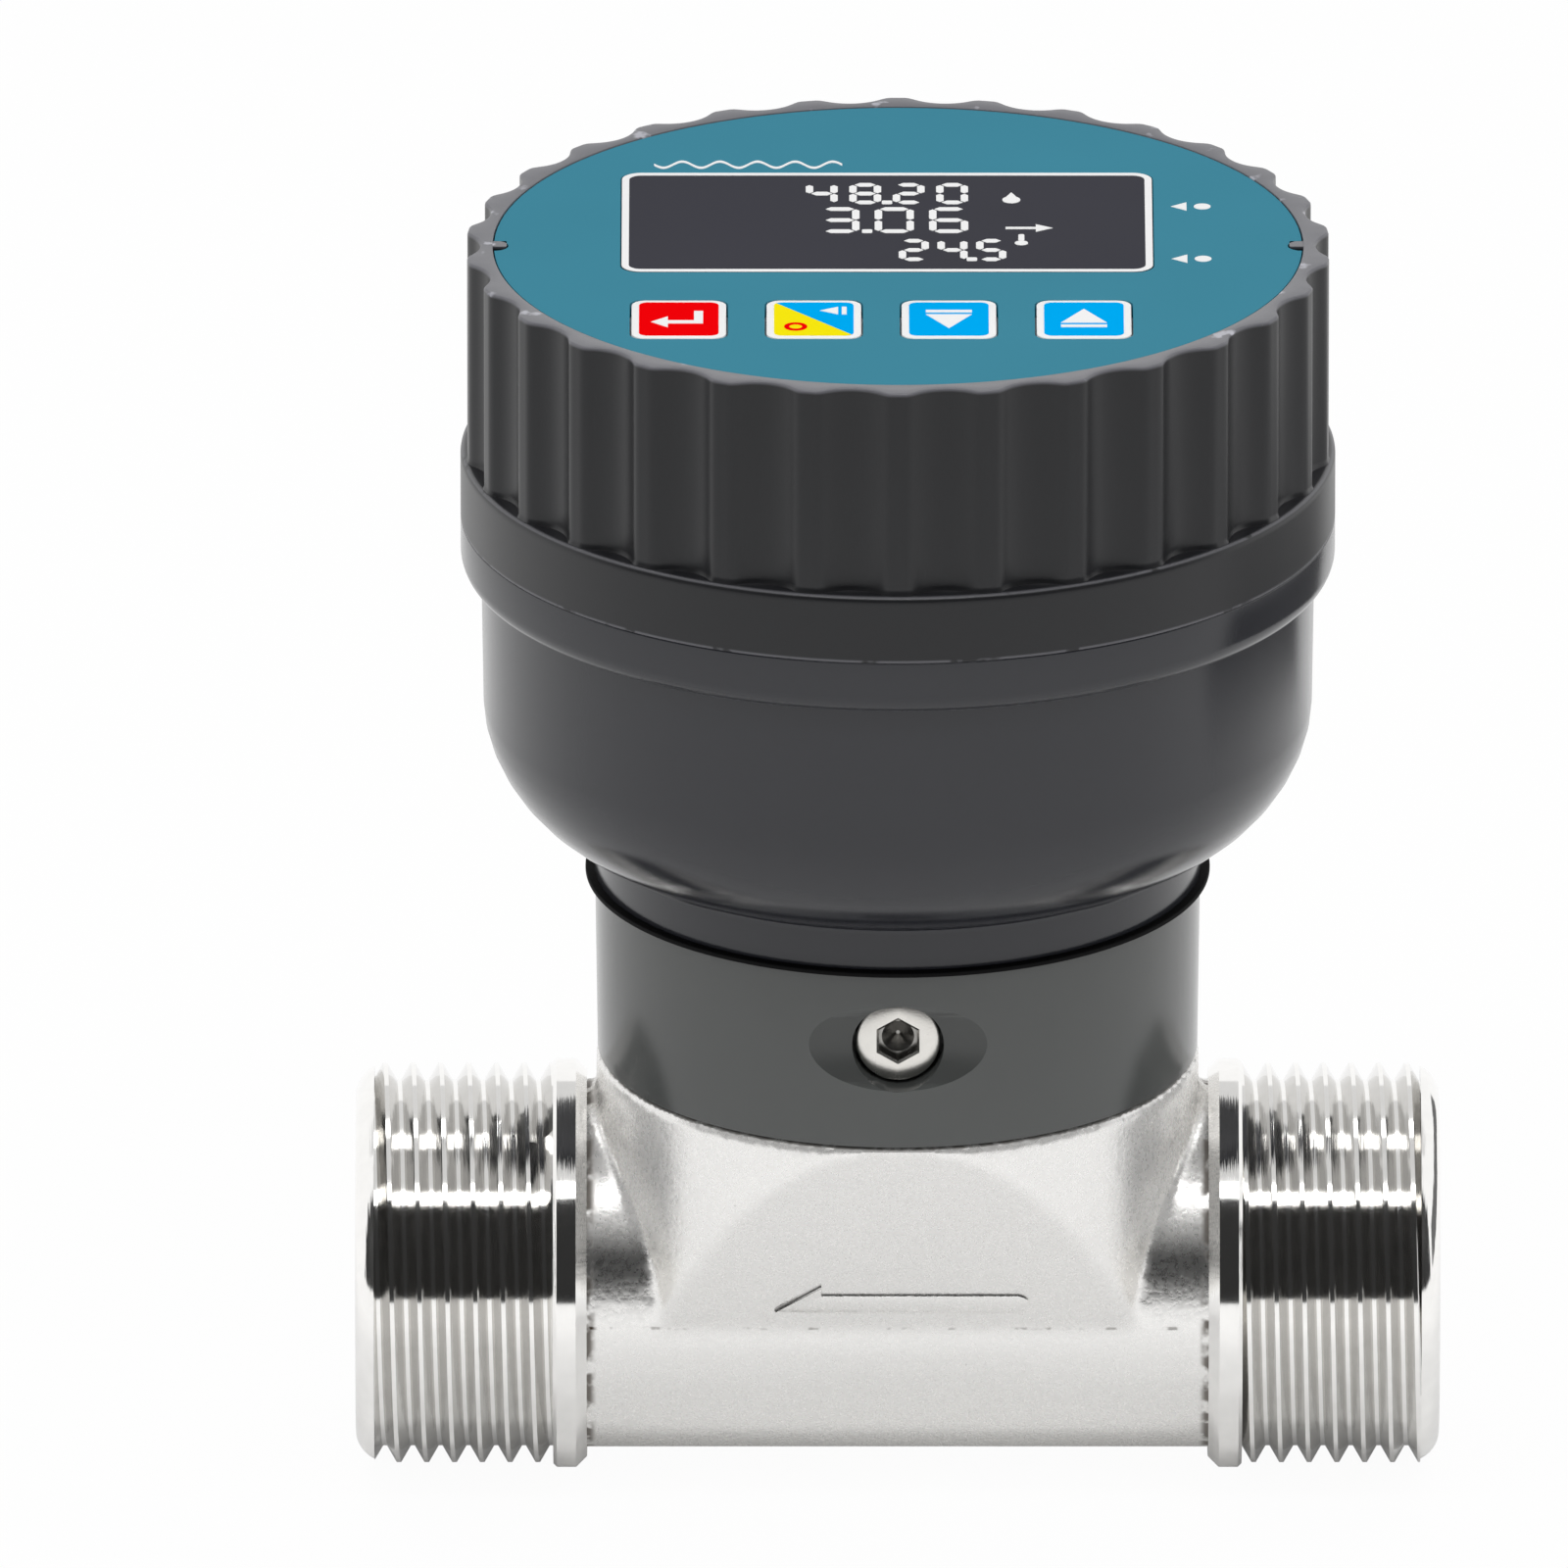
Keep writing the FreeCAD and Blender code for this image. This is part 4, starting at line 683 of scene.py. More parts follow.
def lead_in_stations(sizes, outer):
    """The plain ring in front of the thread: it starts at a slope and rounds off to the end face."""
    crown = THREAD_RADIUS - CROWN_SHARE * sizes.lead_in_drop
    stations = []
    for step in range(LEAD_IN_STEPS + 1):
        turn = LEAD_IN_SLOPE + step / LEAD_IN_STEPS * (math.pi / 2 - LEAD_IN_SLOPE)
        along = (math.sin(turn) - math.sin(LEAD_IN_SLOPE)) / (1 - math.sin(LEAD_IN_SLOPE))
        lost = 1 - math.cos(turn) / math.cos(LEAD_IN_SLOPE)
        stations.append((outer + sizes.lead_in * along, crown - sizes.lead_in_drop * lost))
    return stations


def threaded_end(sizes, bore):
    """One machined end about the X axis: stop, right-hand pipe thread, plain lead-in ring and bore."""
    pitch = sizes.thread_pitch
    inner = sizes.shoulder_start + sizes.shoulder_width
    outer = BODY_HALF - sizes.lead_in
    spare_turns = 3
    turns = int((outer - inner) / pitch) + spare_turns
    shape = thread_section(sizes, inner - spare_turns / 2 * pitch, turns)
    bmesh.ops.spin(shape, geom=shape.verts[:] + shape.edges[:], axis=(1, 0, 0), cent=(0, 0, 0),
                   angle=math.tau, dvec=(pitch / THREAD_STEPS, 0, 0), steps=THREAD_STEPS)
    bmesh.ops.remove_doubles(shape, verts=shape.verts[:], dist=MERGE)
    for x, way in ((inner, -1), (outer, 1)):
        cut_off(shape, (x, 0, 0), (way, 0, 0))
    rims = open_loops(shape)
    middle = (inner + outer) / 2
    inner_rim = [line for line in rims if line.verts[0].co.x < middle]
    outer_rim = [line for line in rims if line.verts[0].co.x >= middle]
    mouth = [(BODY_HALF, bore + sizes.bore_chamfer), (BODY_HALF - sizes.bore_chamfer, bore)]
    edge, chamfer = sizes.shoulder_edge, sizes.shoulder_chamfer
    shoulder, face = sizes.shoulder_radius, sizes.shoulder_start
    stop = [(inner, shoulder - edge), (inner - edge, shoulder), (face + chamfer, shoulder),
            (face, shoulder - chamfer), (face, bore)]
    outer_rim = drawn_out(shape, outer_rim, lead_in_stations(sizes, outer) + mouth)
    inner_rim = drawn_out(shape, inner_rim, stop)
    bmesh.ops.bridge_loops(shape, edges=outer_rim + inner_rim)

    # Faces on the flanks get a darker copy of the turned nickel: painted shade for light lost between them.
    def on_flank(side):
        centre = side.calc_center_median()
        depth = THREAD_RADIUS - math.hypot(centre.y, centre.z)
        return inner < centre.x < outer and FLANK_FROM < depth < FLANK_TO

    return painted(painted(tidy(shape), TURNED), SHADED_FLANK, on_flank)


def remeshed(shape, grain):
    """Run overlapping shapes together into one even skin."""
    mesh = mesh_of(shape, "cast")
    holder = linked("cast", mesh)
    skin = holder.modifiers.new("skin", "REMESH")
    skin.mode = "VOXEL"
    skin.voxel_size = grain
    made = bpy.data.meshes.new_from_object(holder.evaluated_get(bpy.context.evaluated_depsgraph_get()))
    result = bmesh.new()
    result.from_mesh(made)
    bpy.data.objects.remove(holder)
    bpy.data.meshes.remove(mesh)
    bpy.data.meshes.remove(made)
    return result


def add_bar(shape, radius, depth, matrix):
    """Add a plain round bar to a shape."""
    bmesh.ops.create_cone(shape, cap_ends=True, segments=ROUND_STEPS, radius1=radius, radius2=radius,
                          depth=depth, matrix=matrix)


def cast_tee(sizes):
    """The casting between the stops: a pipe and a flatted boss run together with soft corners."""
    overlap = 4 * MM
    smoothings = 4
    boss_top = sizes.boss_height
    shape = bmesh.new()
    add_bar(shape, sizes.boss_radius, boss_top, Matrix.Translation((0, 0, boss_top / 2)))
    for side in (-1, 1):
        foot = Vector((0, side * sizes.pipe_radius, 0))
        brow = Vector((0, side * sizes.boss_radius, boss_top))
        cut_off(shape, foot, (brow - foot).cross(Vector((1, 0, 0))) * side, close=True)
    pipe_length = 2 * sizes.shoulder_start + overlap
    add_bar(shape, sizes.pipe_radius, pipe_length, Matrix.Rotation(math.pi / 2, 4, "Y"))
    shape = remeshed(shape, sizes.cast_grain)
    for step in range(smoothings):
        bmesh.ops.smooth_vert(shape, verts=shape.verts[:], factor=0.5, use_axis_x=True, use_axis_y=True,
                              use_axis_z=True)
    rims = []
    for side, bore in ((-1, sizes.outlet_radius), (1, sizes.bore_radius)):
        end = side * sizes.shoulder_start
        cut_off(shape, (end, 0, 0), (side, 0, 0))
        rim = [line for line in open_loops(shape) if abs(line.verts[0].co.x - end) < MERGE]
        rims += drawn_out(shape, rim, [(end, bore)])
    bmesh.ops.bridge_loops(shape, edges=rims)
    return painted(tidy(shape), CAST)


def flow_arrow(sizes):
    """Half arrow raised on the front flat, with painted shade on its upper edge: it points to the outlet."""
    tip, barb, tail = -10.3 * MM, -6.3 * MM, 10.9 * MM
    low, high, tip_low, barb_top = 2.0 * MM, 4.1 * MM, 2.2 * MM, 5.3 * MM
    tip_round, tail_round, neck_round, barb_round = 0.15 * MM, 0.95 * MM, 0.1 * MM, 0.25 * MM
    shaded_lean, brim_angle = 0.45, 1.0
    top = sizes.arrow_height
    shape = plate([
        (tip, tip_low, tip_round), (barb, low, 0), (tail, low, tail_round), (tail, high, tail_round),
        (barb, high, neck_round), (barb, barb_top, barb_round),
    ], -sizes.arrow_root, top)
    brim = [line for line in shape.edges
            if all(abs(spot.co.z - top) < MERGE for spot in line.verts)
            and line.calc_face_angle() > brim_angle]
    tidy(rounded_edges(shape, brim, sizes.arrow_edge))
    # Faces that look up the slope get a darker copy of the cast nickel: painted shade along the arrow's upper
    # edge.
    painted(painted(shape, CAST), SHADED_EDGE, lambda face: face.normal.y > shaded_lean)
    slope = Vector((0, sizes.pipe_radius - sizes.boss_radius, sizes.boss_height)).normalized()
    across = Vector((1, 0, 0))
    turn = Matrix((across, slope, across.cross(slope))).transposed().to_4x4()
    bmesh.ops.transform(shape, matrix=Matrix.Translation((0, -sizes.pipe_radius, 0)) @ turn,
                        verts=shape.verts[:])
    return tidy(shape)


class METER_OT_flow_body(bpy.types.Operator):
    """Model the cast tee with its two threaded ends, its spigot and the cast flow arrow"""
    bl_idname = "meter.flow_body"
    bl_label = "Flow body"

    def execute(self, context):
        sizes = context.scene.body_sizes
        colours = context.scene.meter_colours
        inlet = threaded_end(sizes, sizes.bore_radius)
        outlet = threaded_end(sizes, sizes.outlet_radius)
        half_turn = Matrix.Rotation(math.pi, 3, "Z")
        bmesh.ops.rotate(outlet, verts=outlet.verts[:], cent=(0, 0, 0), matrix=half_turn)
        foot, top = sizes.boss_height - sizes.spigot_root, SPIGOT_TOP - PIPE_AXIS.z
        hollow, wall, edge = sizes.hollow_radius, sizes.spigot_radius, sizes.spigot_edge
        spigot = turned([(hollow, foot, 0), (wall, foot, 0), (wall, top, edge), (hollow, top, edge)])
        whole = joined(cast_tee(sizes), flow_arrow(sizes), inlet, outlet, painted(spigot, TURNED))
        bmesh.ops.translate(whole, verts=whole.verts[:], vec=PIPE_AXIS)
        tint, dark_brown, stop = colours.nickel, colours.dark_brown, sizes.shoulder_start
        finishes = [cast_nickel("cast_nickel", tint, dark_brown, stop), turned_nickel("turned_nickel", tint),
                    # A darker copy of the cast nickel: painted shade on the arrow's upper edge.
                    cast_nickel("stained_nickel", shade(tint, 0.42), dark_brown, stop),
                    # A darker copy of the turned nickel: painted shade on the thread's flanks.
                    turned_nickel("flank_nickel", shade(tint, 0.82))]
        new_piece(whole, "flow_body_cast", "base", finishes, ["flow_body"])
        return {"FINISHED"}


def softened_copy(node, edge, sharp):
    """Copy a CAD node's mesh and round the edges that are sharper than an angle in degrees."""
    flat = math.radians(0.3)
    shape = bmesh.new()
    shape.from_mesh(frame["nodes"][node].data)
    bmesh.ops.remove_doubles(shape, verts=shape.verts[:], dist=MERGE)
    bmesh.ops.dissolve_limit(shape, angle_limit=flat, verts=shape.verts[:], edges=shape.edges[:])
    brims = [line for line in shape.edges
             if len(line.link_faces) == 2 and line.calc_face_angle() > math.radians(sharp)]
    return rounded_edges(shape, brims, edge, clamp=True)


class METER_OT_collar(bpy.types.Operator):
    """Model the collar with softened edges, and give its scoops a darker, rougher copy of its plastic as
    painted shade
    """
    bl_idname = "meter.collar"
    bl_label = "Mounting collar"

    def execute(self, context):
        sizes = context.scene.head_sizes
        colours = context.scene.meter_colours
        low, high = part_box("clamp_screws")
        level = (low.z + high.z) / 2
        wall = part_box("mounting_collar")[1].x

        def in_scoop(face):
            centre = face.calc_center_median()
            reach = math.hypot(centre.x, centre.y)
            return -low.y < reach < wall - sizes.scoop_rim and abs(centre.z - level) < sizes.scoop_height / 2

        shape = painted(softened_copy("mounting_collar", sizes.collar_edge, sharp=14), 0)
        # The scoops get a darker copy of the collar's plastic: painted shade in the recesses.
        finishes = [collar_plastic(colours),
                    moulded("scoop_plastic", shade(colours.collar, 0.72), 0.34, 0.008 * MM)]
        new_piece(painted(shape, 1, in_scoop), "mounting_collar_soft", "head", finishes,
                  ["mounting_collar"], sharp=11.0)
        return {"FINISHED"}


class METER_OT_gasket(bpy.types.Operator):
    """Model the thin black gasket under the housing"""
    bl_idname = "meter.gasket"
    bl_label = "Neck gasket"

    def execute(self, context):
        sizes = context.scene.head_sizes
        bore, edge = sizes.gasket_bore, sizes.gasket_edge
        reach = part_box("neck_gasket")[1].x - sizes.gasket_margin
        low, top = GASKET_BASE, GASKET_BASE + sizes.gasket
        shape = turned([(bore, low, 0), (reach, low, edge), (reach, top, edge), (bore, top, 0)])
        rubber = rubbery("sealing_rubber", context.scene.meter_colours.rubber)
        new_piece(shape, "neck_gasket_ring", "head", [rubber], ["neck_gasket"])
        return {"FINISHED"}


class METER_OT_housing(bpy.types.Operator):
    """Turn the bell housing: neck, round bell corner, wall and lipped flange"""
    bl_idname = "meter.housing"
    bl_label = "Bell housing"

    def execute(self, context):
        sizes = context.scene.head_sizes
        neck, fillet = sizes.neck_radius, sizes.neck_fillet
        bell, corner = sizes.bell_radius, sizes.bell_corner
        corner_x = bell - corner
        lean = math.asin((neck + fillet - corner_x) / (corner + fillet))
        half_turn = math.tan((math.pi / 2 - lean) / 2)
        meet_x = corner_x + corner * math.sin(lean)
        meet_z = sizes.bell_corner_height - corner * math.cos(lean)
        neck_height = meet_z - (meet_x - neck) * math.tan(lean)
        bell_height = meet_z + (bell - meet_x) * math.tan(lean)
        foot = GASKET_BASE + sizes.gasket - HOUSING_BASE
        lip, flange = sizes.flange_height, BEZEL_BASE - HOUSING_BASE
        lip_round = 0.98 * sizes.flange_lip
        spigot, spigot_top, spigot_edge = sizes.spigot_radius, flange + sizes.spigot_height, sizes.spigot_edge
        spigot_bore, bell_bore, neck_bore = spigot - sizes.wall, bell - sizes.wall, neck - sizes.wall
        shape = turned([
            (sizes.probe_hole, foot, 0), (neck, foot, sizes.neck_edge),
            (neck, neck_height, fillet * half_turn), (bell, bell_height, corner * half_turn),
            (BEZEL_RADIUS - sizes.flange_lip, lip, sizes.flange_fillet), (BEZEL_RADIUS, lip, lip_round),
            (BEZEL_RADIUS, flange, sizes.flange_edge), (spigot, flange, 0),
            (spigot, spigot_top, spigot_edge), (spigot_bore, spigot_top, spigot_edge),
            (spigot_bore, flange, 0), (bell_bore, lip, 0),
            (bell_bore, bell_height + sizes.wall, sizes.bell_inside),
            (neck_bore, neck_height + sizes.wall, 0), (neck_bore, sizes.floor, 0),
            (sizes.probe_hole, sizes.floor, 0),
        ])
        bmesh.ops.translate(shape, verts=shape.verts[:], vec=(0, 0, HOUSING_BASE))
        finishes = [housing_plastic(context.scene.meter_colours, sizes)]
        new_piece(shape, "housing_bell", "head", finishes, ["housing"])
        return {"FINISHED"}


def soft_least(first, second, softness):
    """The smaller of two sizes, with a rounded change from one to the other."""
    near = max(softness - abs(first - second), 0) / softness
    return min(first, second) - near * near * softness / 4


def fluted_radius(sizes, angle, crest):
    """Outside radius of the fluted grip at an angle from the front, where a crest stands."""
    pitch = math.tau / sizes.flute_count
    off = (angle % pitch) - pitch / 2
    centre = crest - sizes.flute_depth + sizes.flute_radius
    side = centre * math.sin(off)
    if abs(side) >= sizes.flute_radius:
        return crest
    hollow = centre * math.cos(off) - math.sqrt(sizes.flute_radius ** 2 - side ** 2)
    return soft_least(crest, hollow, sizes.flute_lip)


def lofted(rings, steps):
    """Draw rings up in turn; each has a radius, or a rule that gives it at an angle, and a height."""
    shape = bmesh.new()
    bmesh.ops.create_circle(shape, segments=steps, radius=1.0)
    rim, spots = shape.edges[:], shape.verts[:]
    for index, (radius, height) in enumerate(rings):
        if index:
            rim, spots = extruded_rim(shape, rim)
        for spot in spots:
            angle = math.atan2(spot.co.x, -spot.co.y)
            reach = radius(angle) if callable(radius) else radius
            spot.co = Vector((math.sin(angle) * reach, -math.cos(angle) * reach, height))
    bmesh.ops.remove_doubles(shape, verts=shape.verts[:], dist=MERGE)
    bmesh.ops.holes_fill(shape, edges=open_loops(shape))
    return tidy(shape)


class METER_OT_bezel(bpy.types.Operator):
    """Draw the fluted bezel up ring by ring: skirt, ledge, fluted grip, rounded rim, recess and seat"""
    bl_idname = "meter.bezel"
    bl_label = "Fluted bezel"

    def execute(self, context):
        sizes = context.scene.head_sizes
        recess, lip = sizes.recess_radius, sizes.recess_edge
        seat = BEZEL_BASE + sizes.seat_top
        tab_shift = 0.35 * sizes.tab_width
        shapes = [lofted(self.rings(sizes, seat), sizes.flute_count * FLUTE_STEPS)]
        for side in (-1, 1):
            tab = box_corners(side * (recess - sizes.tab_reach / 2 + lip), tab_shift,
                              sizes.tab_reach + 2 * lip, sizes.tab_width, sizes.tab_edge)
            shapes.append(plate(tab, seat, PANEL_TOP))
        finishes = [bezel_plastic(context.scene.meter_colours, sizes)]
        new_piece(joined(*shapes), "bezel_fluted", "head", finishes, ["bezel_ring"])
        return {"FINISHED"}

    def rings(self, sizes, seat):
        """The bezel's section from its foot up outside and down inside."""
        crest = BEZEL_RADIUS - sizes.crest_step
        skirt = BEZEL_BASE + sizes.skirt_height
        inner = sizes.spigot_radius + sizes.bezel_fit
        edge, foot, rim = sizes.skirt_round, sizes.flange_edge, sizes.rim_round
        recess, lip = sizes.recess_radius, sizes.recess_edge
        shelf = seat - sizes.seat_thickness
        quarter = [step / QUARTER_STEPS * math.pi / 2 for step in range(QUARTER_STEPS + 1)]

        def fluted(inset):
            return lambda angle: fluted_radius(sizes, angle, crest) - inset

        rings = [(inner, BEZEL_BASE)]
        rings += [(BEZEL_RADIUS - foot * (1 - math.sin(turn)), BEZEL_BASE + foot * (1 - math.cos(turn)))
                  for turn in quarter]
        rings += [(BEZEL_RADIUS, BEZEL_BASE + 2 * foot), (BEZEL_RADIUS, skirt - 1.5 * edge)]
        rings += [(BEZEL_RADIUS - edge * (1 - math.cos(turn)), skirt - edge * (1 - math.sin(turn)))
                  for turn in quarter]
        rings += [(fluted(-edge / 4), skirt), (fluted(0), skirt + edge / 2), (fluted(0), skirt + edge),
                  (fluted(0), BEZEL_TOP - 2 * rim)]
        rings += [(fluted(rim * (1 - math.cos(turn))), BEZEL_TOP - rim * (1 - math.sin(turn)))
                  for turn in quarter]
        rings += [(recess + lip, BEZEL_TOP), (recess + lip / 3, BEZEL_TOP - lip / 3),
                  (recess, BEZEL_TOP - lip), (recess, seat), (sizes.seat_radius, seat),
                  (sizes.seat_radius, shelf), (inner, shelf)]
        return rings + [(inner, BEZEL_BASE)]


class METER_OT_clamp_screws(bpy.types.Operator):
    """Model the socket head screws in the collar, with rounded heads and countersunk hexagons"""
    bl_idname = "meter.clamp_screws"
    bl_label = "Clamp screws"

    def execute(self, context):
        sizes = context.scene.head_sizes
        low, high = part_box("clamp_screws")
        level = (low.z + high.z) / 2
        head, face = (high.z - low.z) / 2, -low.y
        flat, sink = sizes.screw_hexagon / 2, sizes.screw_countersink
        bottom = face - sizes.screw_socket

        def in_socket(side):
            centre = side.calc_center_median()
            return math.hypot(centre.x, centre.y) < flat + sink and bottom - flat < centre.z < face - sink

        lay = Matrix.Rotation(math.pi / 2, 4, "X")
        screws = []
        for index in range(sizes.screw_count):
            screw = painted(lofted(self.rings(sizes, head, face), SCREW_STEPS), 1, in_socket)
            turn = Matrix.Rotation(math.tau * index / sizes.screw_count, 4, "Z")
            place = Matrix.Translation((0, 0, level)) @ turn @ lay
            bmesh.ops.transform(screw, matrix=place, verts=screw.verts[:])
            screws.append(tidy(screw))
        tint = context.scene.meter_colours.steel
        # The socket's faces get a darker copy of the steel: painted shade inside the hexagon.
        finishes = [turned_steel("bright_steel", tint), turned_steel("socket_steel", shade(tint, 0.45))]
        new_piece(joined(*screws), "clamp_screws_socket", "head", finishes, ["clamp_screws"])
        return {"FINISHED"}

    def rings(self, sizes, head, face):
        """A screw's section from its tip up to the head's face and down into the hexagon's drilled end."""
        shank, edge, sink = sizes.screw_shank, sizes.screw_edge, sizes.screw_countersink
        tip, seat, bottom = sizes.screw_tip, face - sizes.screw_head_height, face - sizes.screw_socket
        flat = sizes.screw_hexagon / 2
        drill, point, drill_depth = 0.85 * flat, 0.1 * flat, 0.6 * flat

        def hexagon(reach):
            return lambda angle: reach / math.cos(angle % (math.pi / 3) - math.pi / 6)

        return [
            (shank - edge, tip), (shank, tip + edge), (shank, seat), (head - edge, seat), (head, seat + edge),
            (head, face - edge), (head - edge / 3, face - edge / 3), (head - edge, face),
            (hexagon(flat + sink), face), (hexagon(flat), face - sink), (hexagon(flat), bottom),
            (drill, bottom), (point, bottom - drill_depth),
        ]


# Which bars of a seven-bar figure light up for each number, named clockwise from the top, the middle last.
FIGURE_BARS = {
    "0": "abcdef", "1": "bc", "2": "abged", "3": "abgcd", "4": "fgbc", "5": "afgcd", "6": "afgedc",
    "7": "abc", "8": "abcdefg", "9": "abfgcd",
}


def bar(start, end, stroke, low, high):
    """One pointed bar of a figure, a little short of its ends."""
    along = (Vector(end) - Vector(start)).normalized()
    aside = Vector((-along.y, along.x)) * stroke / 2
    point, gap = along * stroke / 2, along * stroke * 0.16
    start, end = Vector(start) + gap, Vector(end) - gap
    points = [start, start + point - aside, end - point - aside, end, end - point + aside,
              start + point + aside]
    return plate([(spot.x, spot.y, 0) for spot in points], low, high)


def figure(number, x, y, width, height, sizes, low, high):
    """The bars of one number about a centre; width and height are over the bars."""
    left, right = x - (width - sizes.upright) / 2, x + (width - sizes.upright) / 2
    bottom, top = y - (height - sizes.level) / 2, y + (height - sizes.level) / 2
    ends = {
        "a": ((left, top), (right, top)), "b": ((right, top), (right, y)), "c": ((right, y), (right, bottom)),
        "d": ((left, bottom), (right, bottom)), "e": ((left, y), (left, bottom)),
        "f": ((left, top), (left, y)), "g": ((left, y), (right, y)),
    }
    return [bar(*ends[name], sizes.level if name in "adg" else sizes.upright, low, high)
            for name in FIGURE_BARS[number]]


def reading(text, right, y, width, height, pitch, sizes, low, high):
    """A row of numbers whose last stands at the right; a point stands midway between its neighbours."""
    shapes = []
    x = right
    for number in reversed(text):
        if number == ".":
            dot = sizes.level
            spot = box_corners(x + pitch / 2, y - (height - dot) / 2, dot, dot, dot / 5)
            shapes.append(plate(spot, low, high))
        else:
            shapes += figure(number, x, y, width, height, sizes, low, high)
            x -= pitch
    return shapes


class METER_OT_display(bpy.types.Operator):
    """Print the window's white border, three plain readings and small signs beside them"""
    bl_idname = "meter.display"
    bl_label = "Display"

    def execute(self, context):
        sizes = context.scene.face_sizes
        low, high = PANEL_TOP, PANEL_TOP + sizes.print_height
        window_low, window_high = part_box("display_window")
        middle, extent = (window_low + window_high) / 2, window_high - window_low
        corners = box_corners(middle.x, middle.y, extent.x, extent.y, sizes.window_corner)
        border = outline_plate(corners, sizes.border, low, high)
        white = [printed("white_print", context.scene.meter_colours.white)]
        new_piece(border, "window_border", "head", white)
        shapes = []
        for text, *place in (("48.20", 4.5, 12.5, 2.65, 5.1, 3.6), ("3.06", 4.2, 6.1, 3.25, 6.2, 4.5),
                             ("24.5", 7.7, -1.1, 2.5, 5.3, 3.2)):
            right, y, width, height, pitch = [number * MM for number in place]
            shapes += reading(text, right, y, width, height, pitch, sizes, low, high)
        new_piece(joined(*shapes), "display_figures", "head", white)
        signs = [plate(outline, low, high) for outline in self.signs()]
        new_piece(joined(*signs), "display_signs", "head", white)
        return {"FINISHED"}

    def signs(self):
        """Outlines of a droplet, an arrow and a thermometer in place of units."""
        drop_x, drop_y, drop = 9.4 * MM, 11.0 * MM, 0.75 * MM
        steps, arc, stretch, peak = 20, 1.6 * math.pi, 1.1, 2.4
        turns = [(step / steps - 0.5) * arc for step in range(steps + 1)]
        droplet = [(drop_x + drop * math.sin(turn), drop_y - drop * math.cos(turn) * stretch, 0)
                   for turn in turns]
        droplet.append((drop_x, drop_y + drop * peak, 0))
        stroke = 0.5 * MM
        tail_x, barb_x, tip_x, arrow_y, half = 8.9 * MM, 11.4 * MM, 12.8 * MM, 4.2 * MM, 0.9 * MM
        shaft = box_corners((tail_x + barb_x) / 2, arrow_y, barb_x - tail_x, stroke)
        point = [(barb_x, arrow_y - half, 0), (tip_x, arrow_y, 0), (barb_x, arrow_y + half, 0)]
        bulb_x, bulb_y = 10.2 * MM, 0.6 * MM
        bulb_radius, stem_rise, stem_length, stem_round = 0.55 * MM, 1.33 * MM, 1.54 * MM, 0.2 * MM
        bulb = disc_corners(bulb_x, bulb_y, bulb_radius)
        stem = box_corners(bulb_x, bulb_y + stem_rise, stroke, stem_length, stem_round)
        return droplet, shaft, point, bulb, stem


class METER_OT_panel_print(bpy.types.Operator):
    """Print a plain wave and two small pointers on the panel beside the window"""
    bl_idname = "meter.panel_print"
    bl_label = "Panel print"

    def execute(self, context):
        low = PANEL_TOP
        high = low + context.scene.face_sizes.print_height
        tip, base, half, dot_x, dot = 22.6 * MM, 23.9 * MM, 1.0 * MM, 25.2 * MM, 0.7 * MM
        shapes = [self.wave(low, high)]
        for y in (9.4 * MM, -3.2 * MM):
            shapes.append(plate([(tip, y, 0), (base, y - half, 0), (base, y + half, 0)], low, high))
            shapes.append(plate(disc_corners(dot_x, y, dot), low, high))
        white = [printed("white_print", context.scene.meter_colours.white)]
        new_piece(joined(*shapes), "panel_marks", "head", white)
        return {"FINISHED"}

    def wave(self, low, high):
        """A wavy line of one stroke."""
        x, y, width, swing, line, swings = -12.4 * MM, 19.5 * MM, 15.6 * MM, 0.75 * MM, 0.5 * MM, 5
        shape = bmesh.new()
        bmesh.ops.create_grid(shape, x_segments=96, y_segments=1, size=0.5)
        for spot in shape.verts:
            rise = swing * math.sin(spot.co.x * math.tau * swings)
            spot.co = Vector((x + spot.co.x * width, y + spot.co.y * line + rise, low))
        return raised(shape, high - low)


